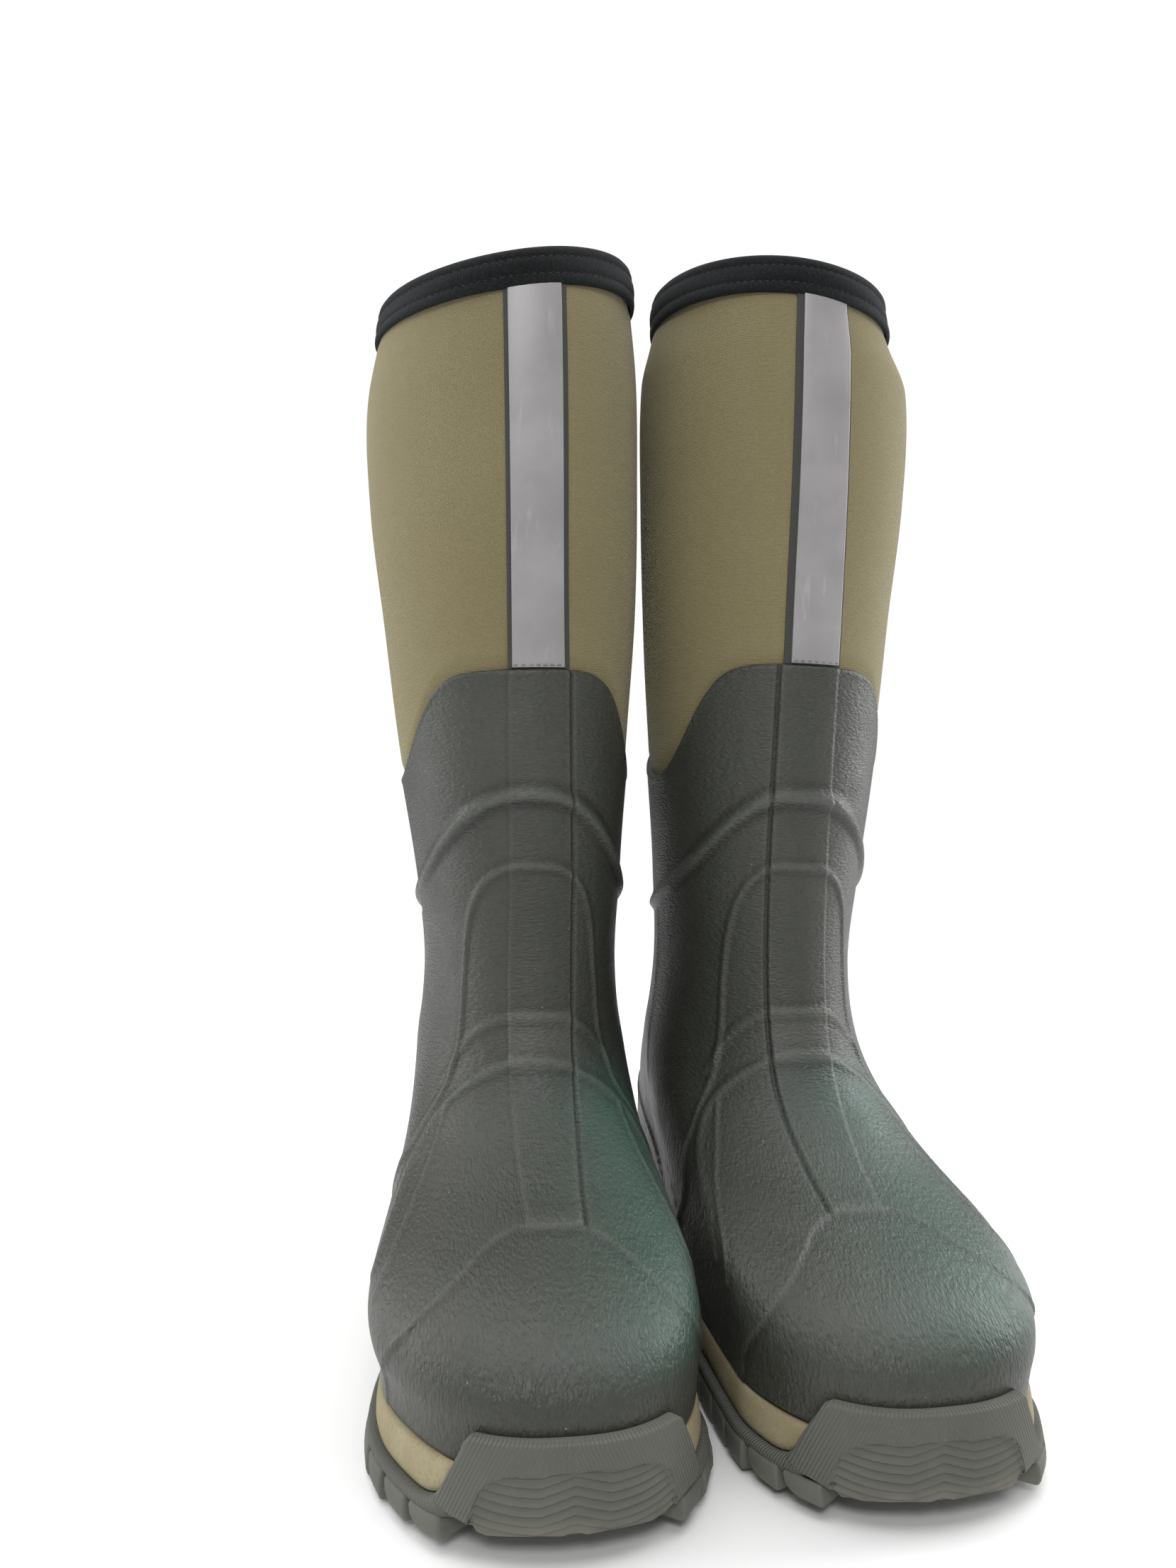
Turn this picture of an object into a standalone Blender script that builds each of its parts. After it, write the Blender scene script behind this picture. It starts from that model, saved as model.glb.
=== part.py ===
"""A pair of insulated rubber and neoprene hunting boots, each taken apart into its real pieces.

Metres, +Z up. The toes point along -Y, the boots stand side by side on z = 0, and the origin is
under the middle of the pair. The right boot is on the -X side, so its inner side faces +X.

Every layer of a boot follows one lofted surface, its outer skin. A point of that skin is given by
a turn round the boot (0 at the toe, positive towards the inner side) and a height. A layer is
the space between two depths under the skin, measured square to it; a negative depth stands proud.
The loft and the depths are in millimetres, and the meshes are scaled to metres.
"""

import math

import bmesh
import bpy
import numpy as np

MM = 0.001

# Outer skin: height, half width on the inner and the outer side, reach to the toe and to the heel.
LOFT = np.array([
    (20, 50.5, 54.5, 171.0, 101.0),
    (34, 51.0, 55.6, 173.6, 103.5),
    (40, 51.8, 58.0, 173.2, 104.0),
    (46, 52.2, 59.2, 170.8, 104.0),
    (52, 52.3, 59.0, 165.5, 104.0),
    (58, 52.0, 57.5, 156.0, 103.0),
    (64, 51.5, 55.5, 141.5, 101.5),
    (70, 50.8, 53.5, 123.0, 99.5),
    (77, 50.0, 51.5, 104.0, 96.5),
    (86, 49.0, 49.5, 87.0, 92.0),
    (97, 47.8, 47.3, 72.0, 86.5),
    (110, 45.8, 44.8, 61.0, 80.5),
    (126, 43.0, 42.4, 53.5, 75.0),
    (145, 41.3, 41.2, 50.5, 70.5),
    (186, 43.0, 45.6, 51.5, 67.0),
    (240, 47.8, 53.4, 55.5, 68.5),
    (294, 52.3, 59.4, 60.0, 71.5),
    (347, 54.2, 64.3, 64.5, 73.0),
    (397, 54.2, 64.0, 66.0, 72.5),
    (424, 51.8, 59.0, 65.3, 70.5),
    (437, 50.8, 57.5, 64.5, 69.5),
], dtype=float)
# Plan of the foot from toe (0) to heel (1): share of the half width on the inner and the outer side.
PLAN = np.array([
    (0.00, 1.24, 1.14),
    (0.05, 1.23, 1.16),
    (0.10, 1.20, 1.15),
    (0.15, 1.16, 1.15),
    (0.20, 1.08, 1.12),
    (0.28, 0.99, 1.03),
    (0.45, 0.90, 0.84),
    (0.62, 0.81, 0.78),
    (0.80, 0.87, 0.81),
    (1.00, 0.93, 0.81),
])
FOOT_TOP, SHAFT_FOOT = 56.0, 121.0   # heights between which the foot's plan fades into the round shaft
BLUNT_ENDS, BLUNT_SIDES = 0.86, 0.78  # how square the foot's plan is: 1 is an ellipse
TOP = 437.0

# How each boot stands, x and the tapes' shift being positive towards the inner side.
LEAN_FROM, TIP_FROM = 180.0, 140.0   # above these heights the soft shaft leans and its levels tip
# Outward lean, rise of the rim to the inner side and to the back, how much taller the soft shaft stands,
# how far the rim is drawn in on the inner and the outer side, the front tape's place towards the inner side,
# and the foot's lowest row in LOFT, which differs a little between the two boots.
STANCES = {
    "right": {"mirrored": False, "lean": 7.0, "tip_in": 11.5, "tip_back": 10.0, "rise": 0.0,
              "gather": (0.0, 0.0), "tape_shift": 3.3, "lowest": (50.5, 54.5, 171.0, 101.0)},
    "left": {"mirrored": True, "lean": 2.5, "tip_in": 5.5, "tip_back": 9.0, "rise": 4.8,
             "gather": (3.0, 6.5), "tape_shift": -3.6, "lowest": (51.0, 55.6, 173.6, 103.5)},
}
RISE_FROM, RISE_FULL = 205.0, 262.0
GATHER_FROM, GATHER_FULL = 397.0, 421.0
HALF_WIDE, HALF_DEEP = 58.0, 66.0    # of the rim, where the tip is reached in full
BOOT_GAP = 104.7                     # from one boot's axis to the other's
TOE_OUT = math.radians(1.4)

# The sole, from the ground up.
LUG_DEPTH = 4.2
OUTSOLE_TOP = 12.6
WEDGE_TOP = 24.0                     # top of the midsole's visible edge, where the rubber shell begins
MIDSOLE_TOP = 34.0                   # top of its core, inside the shell
BOARD_TOP = 36.5
FOOTBED_TOP = 43.0
EDGE_LEVEL = 34.0                    # the foot's outline here is the one that the sole follows
SOLE_PROUD = 3.2                     # how far each stands out past the foot
BUMPER_PROUD = 4.2
LUG_PROUD = 0.8
MIDSOLE_PROUD = 0.7
CORE_INSET = 5.6                     # of the midsole's core from the foot's outline
BUMPER_GAP = 1.2
BUMPER_TOP = 35.6
TOE_TUCK = 2.8                       # how far the bumper draws in towards the ground
TOE_RISE, TOE_RISE_FROM, TOE_RISE_LENGTH = 6.4, 108.0, 68.0

GAP = 0.3                            # between pieces that touch
SHELL_THICK = 2.5
STIFFENER_THICK = 1.5
NEOPRENE_THICK = 4.5
NEOPRENE_DEPTH = 1.3                 # where it is in the open
LINING_THICK = 1.5
SHELL_FRONT = 267.4                  # height of the rubber's top edge in front
COLLAR_FOOT = 421.0
STRIP_WIDTH, BACKING_WIDTH, REAR_TAPE_WIDTH = 21.0, 25.0, 26.0

COLUMNS = 24
TURNS = np.radians(np.arange(COLUMNS) * 360 / COLUMNS)


def through(table, column, at):
    """A smooth curve through one column of a table whose first column is the position."""
    x, y = table[:, 0], table[:, column]
    slope = np.gradient(y, x)
    at = np.clip(np.asarray(at, float), x[0], x[-1])
    i = np.clip(np.searchsorted(x, at) - 1, 0, len(x) - 2)
    span = x[i + 1] - x[i]
    u = (at - x[i]) / span
    return ((2 * u**3 - 3 * u**2 + 1) * y[i] + (u**3 - 2 * u**2 + u) * span * slope[i]
            + (3 * u**2 - 2 * u**3) * y[i + 1] + (u**3 - u**2) * span * slope[i + 1])


def ease(low, high, at):
    """0 below low, 1 above high, smooth between."""
    u = np.clip((np.asarray(at, float) - low) / (high - low), 0, 1)
    return u * u * (3 - 2 * u)


def skin(turn, height):
    """Points of the outer skin of a right boot; its inner side is +X."""
    turn, height = np.broadcast_arrays(np.asarray(turn, float), np.asarray(height, float))
    front, back = -through(LOFT, 3, height), through(LOFT, 4, height)
    foot = 1 - ease(FOOT_TOP, SHAFT_FOOT, height)
    ends, sides = 1 - (1 - BLUNT_ENDS) * foot, 1 - (1 - BLUNT_SIDES) * foot
    cos, sin = np.cos(turn), np.sin(turn)
    along = np.sign(cos) * np.abs(cos) ** ends
    y = (front + back) / 2 - (back - front) / 2 * along
    from_toe = (1 - along) / 2
    half = np.where(sin > 0, through(LOFT, 1, height), through(LOFT, 2, height))
    share = np.where(sin > 0, through(PLAN, 1, from_toe), through(PLAN, 2, from_toe))
    x = half * (1 + foot * (share - 1)) * np.sign(sin) * np.abs(sin) ** sides
    return np.stack([x, y, height], axis=-1)


def layer(turn, height, depth, level=False):
    """Points at a depth under the skin. Level moves them sideways only, which keeps an edge flat."""
    step = 1e-3
    round_ = skin(turn + step, height) - skin(turn - step, height)
    up = skin(turn, height + 0.5) - skin(turn, height - 0.5)
    out = np.cross(round_, up)
    if level:
        out[..., 2] = 0
    out /= np.linalg.norm(out, axis=-1, keepdims=True)
    return skin(turn, height) - out * np.asarray(depth, float)[..., None]


def shell_edge(turn):
    """Height of the rubber's scalloped top edge: level in front, a dip on each side, up at the back."""
    below = np.array([(0, 0), (14, 0), (24, 0.5), (30, 1.2), (35, 2.6), (40, 5.2), (45, 9.5), (50, 15),
                      (55, 21), (60, 27), (66, 33), (73, 38), (82, 41), (92, 41.5), (104, 39), (125, 31),
                      (145, 24), (165, 19), (180, 18)])
    around = np.abs(np.degrees((np.asarray(turn) + np.pi) % (2 * np.pi) - np.pi))
    return SHELL_FRONT - through(below, 1, around)


def toe_rise(y):
    """How far the sole curls up under the toe."""
    return TOE_RISE * np.clip((-np.asarray(y) - TOE_RISE_FROM) / TOE_RISE_LENGTH, 0, None) ** 1.5


# ---------------------------------------------------------------- meshes from grids of points


def ring_solid(outside, inside):
    """Faces of a closed wall between two stacks of rings. Nested walls split their faces alike."""
    rings = outside + inside[::-1]
    count, around = len(rings), len(rings[0])
    faces = []
    for i in range(count):
        j = (i + 1) % count
        for k in range(around):
            m = (k + 1) % around
            a, b, c, d = i * around + k, i * around + m, j * around + m, j * around + k
            faces += [(a, b, c), (a, c, d)] if i < len(outside) else [(a, b, d), (b, c, d)]
    return np.concatenate(rings), faces


def patch_solid(outer, inner):
    """A plate between two equal grids of points, closed round its edge."""
    rows, columns = outer.shape[:2]
    size = rows * columns

    def at(side, i, k):
        return side * size + i * columns + k

    faces = []
    for i in range(rows - 1):
        for k in range(columns - 1):
            for side in (0, 1):
                a, b = at(side, i, k), at(side, i, k + 1)
                c, d = at(side, i + 1, k + 1), at(side, i + 1, k)
                faces += [(a, b, c), (a, c, d)] if side == 0 else [(a, c, b), (a, d, c)]
    edge = [(0, k) for k in range(columns)] + [(i, columns - 1) for i in range(1, rows)]
    edge += [(rows - 1, k) for k in range(columns - 2, -1, -1)] + [(i, 0) for i in range(rows - 2, 0, -1)]
    for (i, k), (m, n) in zip(edge, edge[1:] + edge[:1]):
        faces.append((at(0, i, k), at(1, i, k), at(1, m, n), at(0, m, n)))
    return np.concatenate([outer.reshape(-1, 3), inner.reshape(-1, 3)]), faces


def slab(outline, low, high):
    """A plate with an outline; low and high are one height each, or one for each point."""
    flat = outline[:, :2]
    count = len(flat)
    bottom = np.column_stack([flat, np.broadcast_to(low, count)])
    top = np.column_stack([flat, np.broadcast_to(high, count)])
    faces = [tuple(range(count))[::-1], tuple(range(count, 2 * count))]
    faces += [(k, (k + 1) % count, count + (k + 1) % count, count + k) for k in range(count)]
    return np.concatenate([bottom, top]), faces


# ---------------------------------------------------------------- the layers of one boot


def tube(rows):
    """A closed tube wall with a flat foot. rows: (height, outer depth, inner depth); heights may vary."""
    outside, inside = [], []
    for i, (height, outer, inner) in enumerate(rows):
        level = i == 0
        height = np.broadcast_to(height, COLUMNS)
        outside.append(layer(TURNS, height, np.full(COLUMNS, outer), level))
        inside.append(layer(TURNS, height, np.full(COLUMNS, inner), level))
    return ring_solid(outside, inside)


def rubber_shell():
    edge = shell_edge(TURNS)
    heights = [WEDGE_TOP + GAP, MIDSOLE_TOP, 41, 48, 55, 62, 70, 79, 90, 105, 125, 155, 190]
    rows = [(height, 0, SHELL_THICK) for height in heights]
    rows += [(190 + (edge - 190) * share, 0, SHELL_THICK) for share in (0.5, 1)]
    return tube(rows)


def soft_rows():
    """Heights and depths of the neoprene's outer face, from the insole board to the collar."""
    packed = SHELL_THICK + GAP
    stiff = packed + STIFFENER_THICK + GAP
    rows = [(height, stiff) for height in (BOARD_TOP + GAP, 41, 48, 55, 62, 70, 79, 90)]
    rows += [(height, packed) for height in (105, 125, 155, 190)]
    edge = shell_edge(TURNS)
    rows += [(190 + (edge - 190) * 0.5, packed), (edge + 1, packed), (edge + 6, NEOPRENE_DEPTH)]
    rows += [(edge + 6 + (COLLAR_FOOT - edge - 6) * share, NEOPRENE_DEPTH) for share in (0.33, 0.67, 1)]
    return rows + [(TOP - 4, NEOPRENE_DEPTH)]


def neoprene_bootie():
    return tube([(height, depth, depth + NEOPRENE_THICK) for height, depth in soft_rows()])


def lining():
    start = NEOPRENE_THICK + GAP
    return tube([(height, depth + start, depth + start + LINING_THICK)
                       for height, depth in soft_rows()])


def collar_binding():
    """A band folded over the top edge: outer leg, crown, inner leg."""
    inside = NEOPRENE_DEPTH + NEOPRENE_THICK + GAP + LINING_THICK + GAP
    roof = TOP - 4 + GAP
    profile = [
        (-0.3, COLLAR_FOOT), (-0.3, TOP - 5), (0.8, TOP - 1.5), (inside / 2, TOP),
        (inside, TOP - 1.5), (inside + 1.1, TOP - 5), (inside + 1.1, COLLAR_FOOT),
        (inside, COLLAR_FOOT), (inside, roof), (NEOPRENE_DEPTH - GAP, roof),
        (NEOPRENE_DEPTH - GAP, COLLAR_FOOT),
    ]
    rings = [layer(TURNS, np.full(COLUMNS, height), np.full(COLUMNS, depth))
             for depth, height in profile]
    return ring_solid(rings, [])


def band(middle, width, low, high, outer, inner, shift=0.0):
    """A flat tape up the shaft, of constant width, at a turn of 0 (front) or half a turn."""
    across, up = np.linspace(-0.5, 0.5, 5) * width + shift, np.linspace(low, high, 7)
    across, height = np.meshgrid(across, up)
    sign = 1 if middle == 0 else -1
    turn = middle + sign * np.arcsin(across / through(LOFT, 2, height))
    outer = layer(turn, height, np.full(turn.shape, outer))
    inner = layer(turn, height, np.full(turn.shape, inner))
    if middle:
        outer, inner = outer[:, ::-1], inner[:, ::-1]
    return patch_solid(outer, inner)


def front_backing_tape(shift):
    depth = NEOPRENE_DEPTH - GAP
    return band(0, BACKING_WIDTH, SHELL_FRONT + 0.7, COLLAR_FOOT - GAP, depth - 0.7, depth, shift)


def front_reflective_strip(shift):
    depth = NEOPRENE_DEPTH - GAP - 0.7 - GAP
    return band(0, STRIP_WIDTH, SHELL_FRONT + 1.5, COLLAR_FOOT - GAP, depth - 0.5, depth, shift)


def rear_seam_tape():
    depth = NEOPRENE_DEPTH - GAP
    foot = float(shell_edge(np.pi)) + 0.6
    return band(np.pi, REAR_TAPE_WIDTH, foot, COLLAR_FOOT - GAP, depth - 0.8, depth)


def stiffener(middle, half_angle, heights):
    """A shaped cap between the rubber and the neoprene, round the toe or the heel."""
    turn = middle + np.radians(np.linspace(-half_angle, half_angle, 9))
    turn, height = np.meshgrid(turn, heights)
    depth = SHELL_THICK + 2 * GAP
    outer = layer(turn, height, np.full(turn.shape, depth))
    inner = layer(turn, height, np.full(turn.shape, depth + STIFFENER_THICK - GAP))
    outer[0, :, 2] = inner[0, :, 2] = BOARD_TOP + GAP
    return patch_solid(outer, inner)


def heel_counter():
    return stiffener(np.pi, 60, [BOARD_TOP + GAP, 41, 48, 55, 62, 70, 79])


def toe_puff():
    return stiffener(0, 60, [BOARD_TOP + GAP, 41, 48, 55, 62])


# ---------------------------------------------------------------- the sole of one boot


def sole_outline(depth, turns=TURNS, height=EDGE_LEVEL):
    """Outline of the foot a little above the sole, moved in by a depth or out by a negative one."""
    height = np.full(len(turns), height)
    return layer(turns, height, np.broadcast_to(depth, len(turns)), level=True)


def toe_share(turn, full, none):
    """1 round the toe up to a turn of full degrees to either side, fading to 0 at none."""
    around = np.abs(np.degrees((np.asarray(turn) + np.pi) % (2 * np.pi) - np.pi))
    return 1 - ease(full, none, around)


def outsole_slab():
    edge = sole_outline(-SOLE_PROUD)
    return slab(edge, LUG_DEPTH + toe_rise(edge[:, 1]), OUTSOLE_TOP)


def toe_bumper():
    """The wall that wraps the toe, with its sloping ends sunk into the slab."""
    turn = np.radians(np.linspace(-38, 38, 15))
    share = toe_share(turn, 22, 38)
    outer, inner = sole_outline(-BUMPER_PROUD, turn), sole_outline(-BUMPER_GAP, turn)
    toe, deep = sole_outline(TOE_TUCK - BUMPER_PROUD, turn), sole_outline(14, turn)
    low = 1.2 + toe_rise(outer[:, 1])
    mid = OUTSOLE_TOP - 1.6
    top = OUTSOLE_TOP - 1 + (BUMPER_TOP - OUTSOLE_TOP + 1) * share
    rings = []
    foot = low + 3.5
    waist = foot + 0.4 * (top - foot)
    for points, height in ((deep, low), (toe, low), (outer, foot), (outer, waist), (outer, top),
                           (inner, top), (inner, mid), (deep, mid)):
        points = points.copy()
        points[:, 2] = height
        rings.append(points)
    rows = np.array(rings)
    count, columns = rows.shape[:2]
    faces = []
    for i in range(count):
        j = (i + 1) % count
        for k in range(columns - 1):
            faces.append((i * columns + k, i * columns + k + 1, j * columns + k + 1, j * columns + k))
    faces.append(tuple(i * columns for i in range(count)))
    faces.append(tuple(i * columns + columns - 1 for i in range(count))[::-1])
    return rows.reshape(-1, 3), faces


def edge_places(start, pitch, count, side):
    """Places along one side of the sole, an even pitch apart: turn of each, from the toe to the heel."""
    turns = np.radians(np.linspace(0, 180, 721)) * side
    points = sole_outline(0, turns)
    run = np.concatenate([[0], np.cumsum(np.linalg.norm(np.diff(points, axis=0), axis=1))])
    return np.interp(start + pitch * np.arange(count), run, turns)


def side_lug(turn, width=11.0, reach=17.0, proud=LUG_PROUD):
    """A block at the sole's edge that climbs its side."""
    half = 0.5 * width
    here, ahead = sole_outline(0, np.array([turn, turn + 1e-3]))
    tangent = (ahead - here) / np.linalg.norm(ahead - here)
    out = np.array([tangent[1], -tangent[0], 0])
    rise = float(toe_rise(here[1]))
    base = here * (1, 1, 0)
    corners = []
    for height, far, share in ((rise, SOLE_PROUD + proud, 1.0), (OUTSOLE_TOP - 2.6, SOLE_PROUD + proud, 0.55)):
        for near, side in ((-reach, -1), (-reach, 1), (far, 1), (far, -1)):
            point = base + out * near + tangent * side * half * share
            corners.append(point + (0, 0, height))
    return block(corners)


def block(corners):
    """A six-sided block from its bottom four corners and its top four, in the same order."""
    points = np.array(corners)
    faces = [(3, 2, 1, 0), (4, 5, 6, 7)] + [(k, (k + 1) % 4, 4 + (k + 1) % 4, 4 + k) for k in range(4)]
    return points, faces


def tread_bar(x, y, length, width, skew):
    """A slanted bar under the middle of the sole."""
    angle = math.radians(skew)
    along = np.array([math.cos(angle), math.sin(angle), 0]) * length / 2
    across = np.array([-math.sin(angle), math.cos(angle), 0]) * width / 2
    middle = np.array([x, y, 0.0])
    corners = []
    for height in (0.0, OUTSOLE_TOP - 1.4):
        for a, b in ((-1, -1), (1, -1), (1, 1), (-1, 1)):
            point = middle + a * along + b * across
            corners.append(point + (0, 0, height + (float(toe_rise(point[1])) if height == 0 else 0)))
    return block(corners)


def outsole_blocks():
    """Every block of the tread: edge lugs round forefoot and heel, and bars between them."""
    blocks = []
    for side in (1, -1):
        blocks += [side_lug(turn) for turn in edge_places(57, 15, 8, side)]
        blocks += [side_lug(turn) for turn in edge_places(222, 15, 6, side)]
    blocks.append(side_lug(np.pi - 1e-3, width=14))
    for y in (-128, -105, -82, -59):
        blocks += [tread_bar(-22, y, 30, 9, 20), tread_bar(14, y, 30, 9, -20)]
    blocks += [tread_bar(0, y, 34, 9, 0) for y in (42, 60, 78)]
    return blocks


def midsole():
    """A wedge whose edge shows under the shell, with a core that stands inside it."""
    share = toe_share(TURNS, 33, 45)
    edge, core = sole_outline(0.6 * share - MIDSOLE_PROUD * (1 - share)), sole_outline(CORE_INSET)
    rows = np.array([edge, edge, core, core])
    rows[..., 2] = np.array([OUTSOLE_TOP + GAP, WEDGE_TOP, WEDGE_TOP, MIDSOLE_TOP])[:, None]
    count = rows.shape[1]
    faces = [tuple(range(count))[::-1], tuple(range(3 * count, 4 * count))]
    for i in range(3):
        faces += [(i * count + k, i * count + (k + 1) % count, (i + 1) * count + (k + 1) % count,
                   (i + 1) * count + k) for k in range(count)]
    return rows.reshape(-1, 3), faces


def insole_board():
    return slab(sole_outline(SHELL_THICK + 2 * GAP), MIDSOLE_TOP + GAP, BOARD_TOP)


def footbed():
    inside = SHELL_THICK + 3 * GAP + STIFFENER_THICK + NEOPRENE_THICK + LINING_THICK
    return slab(sole_outline(inside + 5.2), BOARD_TOP + GAP, FOOTBED_TOP)


SHANK = (-3.0, 3.0, 22.0, 112.0, 1.6)    # middle x and y, width, length, thickness
SHANK_COVER = 0.2                        # its top face lies this far under the midsole's


def shank_block(grow, top):
    x, y, width, length, thick = SHANK
    a, b = width / 2 + grow, length / 2 + grow
    low = MIDSOLE_TOP - SHANK_COVER - thick - grow
    corners = [(x + i * a, y + j * b, height) for height in (low, top)
               for i, j in ((-1, -1), (1, -1), (1, 1), (-1, 1))]
    return block(corners)


# ---------------------------------------------------------------- objects


def material(name, colour, roughness, metallic=0.0):
    made = bpy.data.materials.new(name)
    made.use_nodes = True
    shader = made.node_tree.nodes["Principled BSDF"]
    shader.inputs["Base Color"].default_value = (*colour, 1)
    shader.inputs["Roughness"].default_value = roughness
    shader.inputs["Metallic"].default_value = metallic
    made.diffuse_color = (*colour, 1)
    return made


MATERIALS = {
    "outsole": material("outsole_rubber", (0.115, 0.118, 0.100), 0.75),
    "midsole": material("midsole_foam", (0.41, 0.35, 0.21), 0.9),
    "rubber_shell": material("upper_rubber", (0.075, 0.080, 0.068), 0.5),
    "neoprene_bootie": material("neoprene_knit", (0.265, 0.222, 0.110), 0.95),
    "lining": material("lining_knit", (0.10, 0.10, 0.10), 1.0),
    "collar_binding": material("stretch_binding", (0.022, 0.025, 0.026), 0.9),
    "front_backing_tape": material("backing_tape", (0.05, 0.05, 0.045), 0.8),
    "front_reflective_strip": material("reflective_film", (0.38, 0.36, 0.36), 0.45),
    "rear_seam_tape": material("seam_tape", (0.05, 0.05, 0.045), 0.8),
    "heel_counter": material("counter_board", (0.35, 0.30, 0.22), 0.8),
    "toe_puff": material("puff_board", (0.35, 0.30, 0.22), 0.8),
    "insole_board": material("lasting_board", (0.45, 0.38, 0.28), 0.9),
    "shank": material("spring_steel", (0.55, 0.55, 0.56), 0.35, 1.0),
    "footbed": material("footbed_foam", (0.12, 0.13, 0.12), 0.95),
}


def placed(points, stance):
    """From a right boot's own frame to the pair's, in millimetres: its soft shaft leaning, toes out."""
    cos, sin = math.cos(TOE_OUT), math.sin(TOE_OUT)
    x, y, height = np.array(points, float).T
    z = height
    tip = np.clip((z - TIP_FROM) / (TOP - TIP_FROM), 0, None) ** 2
    lean = np.clip((z - LEAN_FROM) / (TOP - LEAN_FROM), 0, None)
    z = z + tip * (stance["tip_in"] * x / HALF_WIDE + stance["tip_back"] * y / HALF_DEEP)
    z = z + stance["rise"] * ease(RISE_FROM, RISE_FULL, height)
    gather = np.where(x > 0, *stance["gather"]) * ease(GATHER_FROM, GATHER_FULL, height)
    x = x - gather * np.clip(x / HALF_WIDE, -1, 1)
    x = x - stance["lean"] * lean
    x, y = x * cos + y * sin - BOOT_GAP / 2, y * cos - x * sin
    return np.column_stack([-x if stance["mirrored"] else x, y, z])


def ground_middle():
    """Halfway from the toe bumper to the lug behind the heel."""
    around = np.radians(np.linspace(-180, 180, 721))
    toe = placed(sole_outline(-BUMPER_PROUD, around), STANCES["right"])[:, 1].min()
    heel = placed(sole_outline(-SOLE_PROUD - LUG_PROUD, around), STANCES["right"])[:, 1].max()
    return np.array([0, (toe + heel) / 2, 0])


def mesh_object(name, points, faces, stance, hidden=False):
    """One object, its mesh closed and facing out, at its place in the pair."""
    points = placed(points, stance) - ground_middle()
    mesh = bpy.data.meshes.new(name)
    mesh.from_pydata([tuple(p) for p in points * MM], [], [tuple(f) for f in faces])
    work = bmesh.new()
    work.from_mesh(mesh)
    bmesh.ops.recalc_face_normals(work, faces=work.faces)
    work.to_mesh(mesh)
    work.free()
    mesh.shade_smooth()
    mesh.set_sharp_from_angle(angle=math.radians(35))
    made = bpy.data.objects.new(name, mesh)
    bpy.context.scene.collection.objects.link(made)
    if hidden:
        made.hide_render = True
        made.display_type = "WIRE"
    return made


def boolean(target, operation, other, solver):
    modifier = target.modifiers.new(other.name, "BOOLEAN")
    modifier.operation = operation
    modifier.solver = solver
    modifier.object = other


def build_boot(side):
    """All the pieces of one boot, named after its side."""
    stance = STANCES[side]
    LOFT[0, 1:] = stance["lowest"]

    def add(piece, made):
        thing = mesh_object(f"{side}_{piece}", *made, stance)
        thing.data.materials.append(MATERIALS[piece])
        return thing

    for make in (rubber_shell, neoprene_bootie, lining, collar_binding, rear_seam_tape, heel_counter,
                 toe_puff, insole_board, footbed):
        add(make.__name__, make())
    for make in (front_backing_tape, front_reflective_strip):
        add(make.__name__, make(stance["tape_shift"]))
    add("shank", shank_block(0, MIDSOLE_TOP - SHANK_COVER))

    foam = add("midsole", midsole())
    pocket = mesh_object(f"{side}_shank_pocket", *shank_block(GAP, MIDSOLE_TOP + 5), stance, True)
    boolean(foam, "DIFFERENCE", pocket, "EXACT")

    outsole = add("outsole", outsole_slab())
    for number, made in enumerate([toe_bumper()] + outsole_blocks()):
        piece = mesh_object(f"{side}_tread_{number}", *made, stance, True)
        boolean(outsole, "UNION", piece, "MANIFOLD")


for old in list(bpy.data.objects):
    bpy.data.objects.remove(old)
build_boot("right")
build_boot("left")
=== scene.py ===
"""A pair of insulated rubber and neoprene hunting boots, seen from low in front of the toes.

Lengths in the shape code are millimetres in a right boot's own frame: the toe is along -Y, the inner
side is +X. A point is given by a turn round the boot (0 at the toe, positive to the inner side) and a
height. placed() puts it in the pair's frame, and the meshes are scaled to metres.
"""

import math

import bpy
import numpy as np
from mathutils import Matrix, Vector


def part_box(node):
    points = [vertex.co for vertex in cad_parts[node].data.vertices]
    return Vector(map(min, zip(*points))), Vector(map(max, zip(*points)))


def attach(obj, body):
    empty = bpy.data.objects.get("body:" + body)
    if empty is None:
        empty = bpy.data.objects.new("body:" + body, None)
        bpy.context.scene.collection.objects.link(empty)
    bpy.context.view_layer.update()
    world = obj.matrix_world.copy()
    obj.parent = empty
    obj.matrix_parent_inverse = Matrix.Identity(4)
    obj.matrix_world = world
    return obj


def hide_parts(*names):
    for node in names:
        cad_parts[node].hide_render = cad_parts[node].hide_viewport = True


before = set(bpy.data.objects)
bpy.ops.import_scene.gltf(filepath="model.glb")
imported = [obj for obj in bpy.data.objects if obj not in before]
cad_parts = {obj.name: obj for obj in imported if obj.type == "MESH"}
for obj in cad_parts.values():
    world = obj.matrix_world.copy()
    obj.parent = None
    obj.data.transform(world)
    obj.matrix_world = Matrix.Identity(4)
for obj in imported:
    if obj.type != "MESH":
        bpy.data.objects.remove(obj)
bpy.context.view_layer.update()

MM = 0.001
AMBIENT = 0.28  # strength of the even light from all round

# -------------------- the boot's form, as in the CAD

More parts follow.
